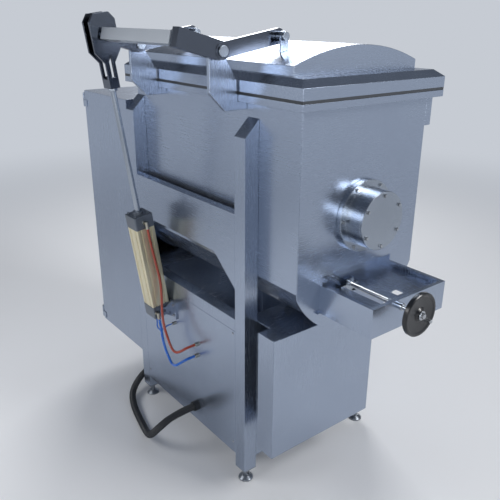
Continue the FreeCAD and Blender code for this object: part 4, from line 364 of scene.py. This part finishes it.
def path_of(curve):
    """The points that a bare curve follows."""
    mesh = bpy.data.meshes.new_from_object(curve)
    points = [tuple(v.co) for v in mesh.vertices]
    bpy.data.meshes.remove(mesh)
    return points


def hose_tube(name, route, radius):
    """A smooth tube along a route, as a mesh, and the points that its middle follows."""
    curve = route_curve(name, route)
    path = path_of(curve)
    curve.data.bevel_depth = radius
    curve.data.bevel_resolution = 6
    curve.data.use_fill_caps = True
    activate(curve)
    bpy.ops.object.convert(target="MESH")
    tube = bpy.context.object
    bpy.ops.object.shade_smooth_by_angle(angle=math.radians(HOSE_SMOOTH_ANGLE))
    return tube, path


def ribbed_tube(name, route, radius, pitch):
    """A corrugated tube: one rib, repeated and bent along the route."""
    curve = route_curve(name + "_route", route)
    path = path_of(curve)
    deselect()
    bpy.ops.mesh.primitive_cylinder_add(vertices=20, radius=radius * RIB_ROOT, depth=pitch, end_fill_type="NOTHING",
                                        location=(pitch / 2, 0, 0), rotation=(0, math.pi / 2, 0))
    tube = bpy.context.object
    tube.name = name
    bpy.ops.object.transform_apply(location=True, rotation=True, scale=True)
    bpy.ops.object.mode_set(mode="EDIT")
    for share in RIB_CUTS:
        bpy.ops.mesh.select_all(action="SELECT")
        bpy.ops.mesh.bisect(plane_co=(pitch * share, 0, 0), plane_no=(1, 0, 0))
    bpy.ops.object.mode_set(mode="OBJECT")
    for v in tube.data.vertices:
        if RIB_TOP[0] * pitch < v.co.x < RIB_TOP[1] * pitch:
            v.co.y /= RIB_ROOT
            v.co.z /= RIB_ROOT
    repeat = tube.modifiers.new("repeat", "ARRAY")
    repeat.fit_type = "FIT_CURVE"
    repeat.curve = curve
    repeat.use_relative_offset = False
    repeat.use_constant_offset = True
    repeat.constant_offset_displace = (pitch, 0, 0)
    repeat.use_merge_vertices = True
    repeat.merge_threshold = pitch * 0.02
    bent = tube.modifiers.new("bent", "CURVE")
    bent.object = curve
    apply_all(tube)
    bpy.ops.object.shade_smooth()
    bpy.data.objects.remove(curve)
    return tube, path


def softened(node_name, width):
    """A copy of a CAD node whose hard edges are broken, as a folded or machined edge is. Weighted normals keep its
    flat faces flat."""
    source = NODES[node_name]
    obj = bpy.data.objects.new(node_name + "_edged", source.data.copy())
    bpy.context.collection.objects.link(obj)
    activate(obj)
    bpy.ops.object.mode_set(mode="EDIT")
    bpy.ops.mesh.select_all(action="SELECT")
    bpy.ops.mesh.remove_doubles(threshold=MERGE_DISTANCE)
    bpy.ops.mesh.dissolve_limited(angle_limit=math.radians(SAME_FACE_ANGLE))
    bpy.ops.object.mode_set(mode="OBJECT")
    edge = obj.modifiers.new("edge", "BEVEL")
    edge.width = width
    edge.segments = 2
    edge.limit_method = "ANGLE"
    edge.angle_limit = math.radians(BEVEL_ANGLE)
    apply_all(obj)
    bpy.ops.object.shade_smooth_by_angle(angle=math.radians(SHEET_SMOOTH_ANGLE))
    flat = obj.modifiers.new("flat", "WEIGHTED_NORMAL")
    flat.weight = 100
    flat.keep_sharp = True
    apply_all(obj)
    return dressed(obj, finish_for(node_name), source["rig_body"], SLOT_OF[node_name], node_name)


def solids_of(node_name):
    """The lowest and highest corners of each separate solid of a CAD node, told apart by their shared corners."""
    mesh = NODES[node_name].data
    group = {}

    def root(key):
        while group[key] != key:
            key = group[key]
        return key

    for face in mesh.polygons:
        keys = [tuple(round(c, 5) for c in mesh.vertices[i].co) for i in face.vertices]
        for key in keys:
            group.setdefault(key, key)
        for key in keys[1:]:
            group[root(key)] = root(keys[0])
    boxes = {}
    for key in group:
        low, high = boxes.setdefault(root(key), (list(key), list(key)))
        for k in range(3):
            low[k] = min(low[k], key[k])
            high[k] = max(high[k], key[k])
    return [(Vector(low), Vector(high)) for low, high in boxes.values()]


def turned(name, profile, sides):
    """A turned part standing on the origin: a disc, extruded and resized step by step along (height, radius)."""
    deselect()
    (low, radius), *steps = profile
    bpy.ops.mesh.primitive_circle_add(vertices=sides, radius=radius, fill_type="NGON", location=(0, 0, low))
    part = bpy.context.object
    part.name = name
    bpy.ops.object.mode_set(mode="EDIT")
    bpy.ops.mesh.select_mode(type="FACE")
    bpy.ops.mesh.select_all(action="SELECT")
    for height, wide in steps:
        bpy.ops.mesh.extrude_region_move(TRANSFORM_OT_translate={"value": (0, 0, height - low)})
        bpy.ops.transform.resize(value=(wide / radius, wide / radius, 1), center_override=(0, 0, height))
        low, radius = height, wide
    bpy.ops.mesh.select_all(action="SELECT")
    bpy.ops.mesh.normals_make_consistent(inside=False)
    bpy.ops.object.mode_set(mode="OBJECT")
    bpy.ops.object.transform_apply(location=True, rotation=True, scale=True)
    return part


def joined(name, parts):
    """Several parts made one, with smooth faces and sharp edges kept."""
    deselect()
    for part in parts:
        part.select_set(True)
    bpy.context.view_layer.objects.active = parts[0]
    if len(parts) > 1:
        bpy.ops.object.join()
    whole = bpy.context.object
    whole.name = name
    bpy.ops.object.shade_smooth_by_angle(angle=math.radians(TURNED_SMOOTH_ANGLE))
    return whole


def repeated(name, model, places):
    """Copies of one part, each with its own mesh, moved to a place and turned from upright to a direction."""
    copies = []
    for place, direction in places:
        twin = bpy.data.objects.new(name, model.data.copy())
        bpy.context.collection.objects.link(twin)
        turn = Vector((0, 0, 1)).rotation_difference(Vector(direction)).to_matrix().to_4x4()
        twin.data.transform(Matrix.Translation(place) @ turn)
        copies.append(twin)
    bpy.data.objects.remove(model)
    return joined(name, copies)


def dressed(obj, mat, body, slot, *hidden):
    """Gives a finished piece its material, the body that it rides on and the CAD nodes that it stands for."""
    set_material(obj, mat)
    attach(obj, body)
    if hidden:
        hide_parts(*hidden)
    return obj


def body_of(node_name):
    """The body that a CAD node rides on."""
    return NODES[node_name]["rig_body"]


class MixerSizes(bpy.types.PropertyGroup):
    """Sizes and colours that a user may change before the steps are run"""
    sheet_edge: bpy.props.FloatProperty(name="Sheet edge", description="Radius of folded sheet edges",
                                        default=2.0 * MM, unit="LENGTH")
    machined_edge: bpy.props.FloatProperty(name="Machined edge", description="Broken edge of machined parts",
                                           default=1.8 * MM, unit="LENGTH")
    hose_radius: bpy.props.FloatProperty(name="Hose radius", description="Outside radius of the two air hoses",
                                         default=5.5 * MM, unit="LENGTH")
    short_hose_radius: bpy.props.FloatProperty(name="Short hose radius", default=3.0 * MM, unit="LENGTH",
                                               description="Outside radius of the short hose")
    conduit_radius: bpy.props.FloatProperty(name="Conduit radius", description="Outside radius of the conduit's ribs",
                                            default=16.0 * MM, unit="LENGTH")
    rib_pitch: bpy.props.FloatProperty(name="Rib pitch", description="Distance between the conduit's ribs",
                                       default=4.5 * MM, unit="LENGTH")
    thread_radius: bpy.props.FloatProperty(name="Thread core", default=7.8 * MM, unit="LENGTH",
                                           description="Radius of the door screw under its thread")
    thread_depth: bpy.props.FloatProperty(name="Thread depth", description="Height of the door screw's thread",
                                          default=1.6 * MM, unit="LENGTH")
    thread_pitch: bpy.props.FloatProperty(name="Thread pitch", description="Pitch drawn coarse enough to show",
                                          default=4.0 * MM, unit="LENGTH")
    steel_colour: bpy.props.StringProperty(name="Steel colour", description="sRGB hex colour of the sheet metal",
                                           default="#A3AEC0")
    red_hose_colour: bpy.props.StringProperty(name="Red hose colour", description="sRGB hex colour of the red hose",
                                              default="#A54534")
    blue_hose_colour: bpy.props.StringProperty(name="Blue hose colour", default="#2468C8",
                                               description="sRGB hex colour of the blue hoses")
    floor_colour: bpy.props.StringProperty(name="Floor colour", description="sRGB hex colour of the floor",
                                           default="#E9EAEC")
    backdrop_colour: bpy.props.StringProperty(name="Backdrop colour", description="sRGB hex colour behind the floor",
                                              default="#C6CBD3")


class MIXER_OT_camera(bpy.types.Operator):
    """Sets the camera where the photograph was taken from"""
    bl_idname = "mixer.camera"
    bl_label = "Camera"

    def execute(self, context):
        data = bpy.data.cameras.new("view")
        data.sensor_width = CAMERA_SENSOR
        data.lens = CAMERA_LENS
        data.shift_x, data.shift_y = CAMERA_SHIFT
        data.clip_end = 50.0
        cam = bpy.data.objects.new("view", data)
        context.collection.objects.link(cam)
        turn = Matrix.Rotation(math.radians(CAMERA_AZIMUTH), 4, "Z")
        tilt = Matrix.Rotation(math.radians(90 - CAMERA_ELEVATION), 4, "X")
        roll = Matrix.Rotation(math.radians(CAMERA_ROLL), 4, "Z")
        cam.matrix_world = Matrix.Translation(CAMERA_PLACE) @ turn @ tilt @ roll
        context.scene.camera = cam
        return {"FINISHED"}


class MIXER_OT_hoses(bpy.types.Operator):
    """Runs the air hoses and the ribbed conduit along their routes"""
    bl_idname = "mixer.hoses"
    bl_label = "Hoses and conduit"

    def execute(self, context):
        sizes = context.scene.mixer_sizes
        hoses = (
            ("red_air_hose", "red_hose", RED_ROUTE, sizes.hose_radius, RED_LENGTH, "red_tube"),
            ("blue_air_hose", "blue_hose", BLUE_ROUTE, sizes.hose_radius, BLUE_LENGTH, "blue_tube"),
            ("short_air_hose", "short_hose", SHORT_ROUTE, sizes.short_hose_radius, SHORT_LENGTH, "blue_tube"),
        )
        for name, node_name, route, radius, length, slot in hoses:
            hose, path = hose_tube(name, route, radius)
            set_material(hose, MATERIALS[slot])
            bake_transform(hose)
            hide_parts(node_name)
        conduit, path = ribbed_tube("ribbed_conduit", CONDUIT_ROUTE, sizes.conduit_radius, sizes.rib_pitch)
        set_material(conduit, MATERIALS["black_conduit"])
        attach(conduit, "frame")
        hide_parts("conduit")
        return {"FINISHED"}


class MIXER_OT_finishes(bpy.types.Operator):
    """Gives every carried-over part its finish"""
    bl_idname = "mixer.finishes"
    bl_label = "Finishes"

    def execute(self, context):
        for name, obj in NODES.items():
            set_material(obj, finish_for(name))
        return {"FINISHED"}


class MIXER_OT_sheetwork(bpy.types.Operator):
    """Breaks the edges of the sheet-metal parts, so that their folds catch the light"""
    bl_idname = "mixer.sheetwork"
    bl_label = "Sheetwork"

    def execute(self, context):
        sizes = context.scene.mixer_sizes
        for name in ("lid_panel", "trough_rim", "chute_box", "legs", "control_cabinet", "cabinet_cover",
                     "drive_housing", "drive_door", "base_panels", "aprons", "discharge_end_wall", "trough_jacket",
                     "port_frame", "chute_cover", "deck_plates", "trough_liner"):
            softened(name, sizes.sheet_edge)
        return {"FINISHED"}


class MIXER_OT_linkage(bpy.types.Operator):
    """Breaks the edges of the lid arms, the fork and their brackets"""
    bl_idname = "mixer.linkage"
    bl_label = "Lid linkage"

    def execute(self, context):
        sizes = context.scene.mixer_sizes
        for name in ("rod_fork", "hinge_brackets", "right_crank", "left_crank", "cross_shaft", "lid_lugs", "lid_pins",
                     "hinge_shafts", "shaft_collars", "piston_rod"):
            softened(name, sizes.machined_edge)
        return {"FINISHED"}


class MIXER_OT_cylinder(bpy.types.Operator):
    """Breaks the edges of the lid cylinder's barrel, caps, bracket and fittings"""
    bl_idname = "mixer.cylinder"
    bl_label = "Lid cylinder"

    def execute(self, context):
        sizes = context.scene.mixer_sizes
        softened("cylinder_caps", sizes.machined_edge)
        softened("cylinder_bracket", sizes.machined_edge)
        softened("cylinder_fittings", 0.5 * sizes.machined_edge)
        softened("panel_unions", 0.5 * sizes.machined_edge)
        softened("cylinder_barrel", 0.4 * sizes.machined_edge)
        return {"FINISHED"}


class MIXER_OT_bearing(bpy.types.Operator):
    """Bolts the bearing housings on with chamfered hexagon heads on washers"""
    bl_idname = "mixer.bearing"
    bl_label = "Bearing and bolts"

    def execute(self, context):
        sizes = context.scene.mixer_sizes
        softened("discharge_cover", sizes.machined_edge)
        softened("discharge_housing", sizes.machined_edge)
        heads = solids_of("bearing_bolts")
        parts = []
        for wide in sorted({round(high.z - low.z, 3) for low, high in heads}):
            mine = [(low, high) for low, high in heads if round(high.z - low.z, 3) == wide]
            tall = mine[0][1].x - mine[0][0].x
            radius = wide / 2
            hexagon = turned("head", ((0.15 * tall, radius), (0.82 * tall, radius), (tall, 0.84 * radius)), 6)
            washer = turned("washer", ((0, 1.12 * radius), (0.12 * tall, 1.12 * radius), (0.18 * tall, radius)), 24)
            bolt = joined("bolt", [hexagon, washer])
            places = []
            for low, high in mine:
                middle = (low + high) / 2
                outward = 1 if middle.x > 0 else -1
                places.append(((low.x if outward > 0 else high.x, middle.y, middle.z), (outward, 0, 0)))
            parts.append(repeated("bolts", bolt, places))
        bolts = joined("bearing_bolt_heads", parts)
        dressed(bolts, MATERIALS["screws"], "frame", "screws", "bearing_bolts")
        return {"FINISHED"}


class MIXER_OT_panel_screws(bpy.types.Operator):
    """Puts round-headed socket screws in the panels"""
    bl_idname = "mixer.panel_screws"
    bl_label = "Panel screws"

    def execute(self, context):
        parts = []
        heads = solids_of("panel_screws")
        for tall in sorted({round(high.y - low.y, 4) for low, high in heads}):
            mine = [(low, high) for low, high in heads if round(high.y - low.y, 4) == tall]
            radius = (mine[0][1].x - mine[0][0].x) / 2
            head = ((0, radius), (0.45 * tall, radius), (0.8 * tall, 0.88 * radius), (tall, 0.62 * radius))
            socket = ((tall, 0.42 * radius), (0.4 * tall, 0.4 * radius))
            screw = turned("screw", head + socket, 18)
            places = []
            for low, high in mine:
                middle = (low + high) / 2
                outward = -1 if middle.y < 0 else 1
                places.append(((middle.x, high.y if outward < 0 else low.y, middle.z), (0, outward, 0)))
            parts.append(repeated("screws", screw, places))
        screws = joined("panel_screw_heads", parts)
        dressed(screws, MATERIALS["screws"], "frame", "screws", "panel_screws")
        return {"FINISHED"}


class MIXER_OT_discharge(bpy.types.Operator):
    """Winds the thread on the door screw and finishes the handwheel, the bearing block, the nut and the door"""
    bl_idname = "mixer.discharge"
    bl_label = "Discharge screw and wheel"

    def execute(self, context):
        sizes = context.scene.mixer_sizes
        for name in ("handwheel", "screw_bearing", "door_nut", "wheel_hub", "lead_screw", "discharge_door"):
            softened(name, 0.5 * sizes.machined_edge)
        low, high = (Vector(p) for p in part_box("lead_screw"))
        middle = (low + high) / 2
        pitch = sizes.thread_pitch
        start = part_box("door_nut")[1][0] + pitch
        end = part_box("screw_bearing")[0][0] - 3 * pitch
        deselect()
        bpy.ops.mesh.primitive_plane_add(size=pitch, location=(0, 0, 0))
        thread = context.object
        bpy.ops.object.mode_set(mode="EDIT")
        bpy.ops.mesh.select_mode(type="VERT")
        bpy.ops.mesh.select_all(action="SELECT")
        bpy.ops.mesh.merge(type="CENTER")
        bpy.ops.transform.translate(value=(0, 0, sizes.thread_radius))
        for along, out in THREAD_STEPS:
            step = (along * pitch, 0, out * sizes.thread_depth)
            bpy.ops.mesh.extrude_region_move(TRANSFORM_OT_translate={"value": step})
        bpy.ops.object.mode_set(mode="OBJECT")
        wind = thread.modifiers.new("wind", "SCREW")
        wind.axis = "X"
        wind.screw_offset = pitch
        wind.iterations = int((end - start) / pitch)
        wind.steps = wind.render_steps = 20
        wind.use_merge_vertices = True
        wind.use_normal_calculate = True
        apply_all(thread)
        thread.location = (start, middle.y, middle.z)
        bpy.ops.object.transform_apply(location=True, rotation=False, scale=False)
        joined("door_screw_thread", [thread])
        dressed(thread, MATERIALS["screws"], body_of("lead_screw"), "screws")
        return {"FINISHED"}


class MIXER_OT_feet(bpy.types.Operator):
    """Breaks the edges of the levelling feet, the rails, the drive, the blades and the last small fittings"""
    bl_idname = "mixer.feet"
    bl_label = "Feet and small fittings"

    def execute(self, context):
        sizes = context.scene.mixer_sizes
        for name in ("levelling_feet", "cable_glands", "motor", "gear_reducer", "paddle_blades",
                     "housing_hinges", "torque_arm", "cabinet_brackets", "base_rails"):
            softened(name, 0.5 * sizes.machined_edge)
        return {"FINISHED"}


class MIXER_OT_stage(bpy.types.Operator):
    """Lays the pale floor, sets the dome round it and hangs the soft lamps"""
    bl_idname = "mixer.stage"
    bl_label = "Stage"

    def execute(self, context):
        sizes = context.scene.mixer_sizes
        deselect()
        bpy.ops.mesh.primitive_plane_add(size=FLOOR_SIDE, location=(0.0, 0.0, 0.0))
        floor = context.object
        floor.name = "studio_floor"
        mat, tree = new_material("pale studio floor")
        near = node(tree, "ShaderNodeBsdfPrincipled",
                    inputs={"Base Color": linear(sizes.floor_colour), "Roughness": 0.8, "Specular IOR Level": 0.0})
        # away from the object the floor passes into the backdrop, so that no horizon shows
        coords = node(tree, "ShaderNodeTexCoord")
        reach = node(tree, "ShaderNodeVectorMath", {"operation": "LENGTH"}, links={0: coords.outputs["Object"]})
        fade = node(tree, "ShaderNodeMapRange", {"interpolation_type": "SMOOTHSTEP"},
                    inputs={"From Min": FLOOR_FADE[0], "From Max": FLOOR_FADE[1]},
                    links={"Value": reach.outputs["Value"]})
        rays = node(tree, "ShaderNodeLightPath")
        mirrored = node(tree, "ShaderNodeMath", {"operation": "ADD", "use_clamp": True},
                        links={0: rays.outputs["Is Glossy Ray"], 1: rays.outputs["Is Transmission Ray"]})
        seen = node(tree, "ShaderNodeMath", {"operation": "ADD", "use_clamp": True},
                    links={0: rays.outputs["Is Camera Ray"], 1: mirrored.outputs[0]})
        share = node(tree, "ShaderNodeMath", {"operation": "MULTIPLY"},
                     links={0: fade.outputs["Result"], 1: seen.outputs[0]})
        far = node(tree, "ShaderNodeEmission", inputs={"Color": linear(sizes.backdrop_colour), "Strength": 1.0})
        mix = node(tree, "ShaderNodeMixShader", links={0: share.outputs[0], 1: near.outputs[0], 2: far.outputs[0]})
        finish_surface(tree, mix)
        set_material(floor, mat)
        world = bpy.data.worlds.new("studio")
        context.scene.world = world
        world.use_nodes = True
        tree = world.node_tree
        tree.nodes.clear()
        coords = node(tree, "ShaderNodeTexCoord")
        split = node(tree, "ShaderNodeSeparateXYZ", links={0: coords.outputs["Generated"]})
        ramp = node(tree, "ShaderNodeValToRGB", links={0: split.outputs["Z"]})
        # pale at the height of the horizon and dimmer above it, which gives satin sheet its dark and light parts
        pale, top = ramp.color_ramp.elements
        pale.position = DOME_PALE_TO
        pale.color = linear(sizes.backdrop_colour)
        top.position = 1.0
        top.color = linear(DOME_TOP)
        ramp.color_ramp.elements.new(DOME_DIM_AT).color = linear(DOME_DIM)
        sky = node(tree, "ShaderNodeBackground", inputs={"Strength": 1.0}, links={"Color": ramp.outputs[0]})
        node(tree, "ShaderNodeOutputWorld", links={"Surface": sky.outputs[0]})
        for name, place, target, size, power in LAMPS:
            data = bpy.data.lights.new(name, "AREA")
            data.shape = "SQUARE"
            data.size = size
            data.energy = power
            lamp = bpy.data.objects.new(name, data)
            lamp.location = place
            aim = Vector(target) - Vector(place)
            lamp.rotation_euler = aim.to_track_quat("-Z", "Y").to_euler()
            context.collection.objects.link(lamp)
        context.scene.view_settings.view_transform = "Standard"
        return {"FINISHED"}


class MIXER_PT_panel(bpy.types.Panel):
    bl_label = "Meat mixer"
    bl_idname = "MIXER_PT_panel"
    bl_space_type = "VIEW_3D"
    bl_region_type = "UI"
    bl_category = "Mixer"

    def draw(self, context):
        for step in STEPS:
            self.layout.operator(step.bl_idname)


STEPS = (MIXER_OT_camera, MIXER_OT_hoses, MIXER_OT_finishes, MIXER_OT_sheetwork, MIXER_OT_linkage, MIXER_OT_cylinder,
         MIXER_OT_bearing, MIXER_OT_panel_screws, MIXER_OT_discharge, MIXER_OT_feet, MIXER_OT_stage)
CLASSES = (MixerSizes, *STEPS, MIXER_PT_panel)


def register():
    for cls in CLASSES:
        bpy.utils.register_class(cls)
    bpy.types.Scene.mixer_sizes = bpy.props.PointerProperty(type=MixerSizes)


def unregister():
    del bpy.types.Scene.mixer_sizes
    for cls in reversed(CLASSES):
        bpy.utils.unregister_class(cls)


def main():
    register()
    MATERIALS.update(make_materials(bpy.context.scene.mixer_sizes))
    bpy.ops.mixer.camera()
    bpy.ops.mixer.hoses()
    bpy.ops.mixer.finishes()
    bpy.ops.mixer.sheetwork()
    bpy.ops.mixer.linkage()
    bpy.ops.mixer.cylinder()
    bpy.ops.mixer.bearing()
    bpy.ops.mixer.panel_screws()
    bpy.ops.mixer.discharge()
    bpy.ops.mixer.feet()
    bpy.ops.mixer.stage()


if __name__ == "__main__":
    main()
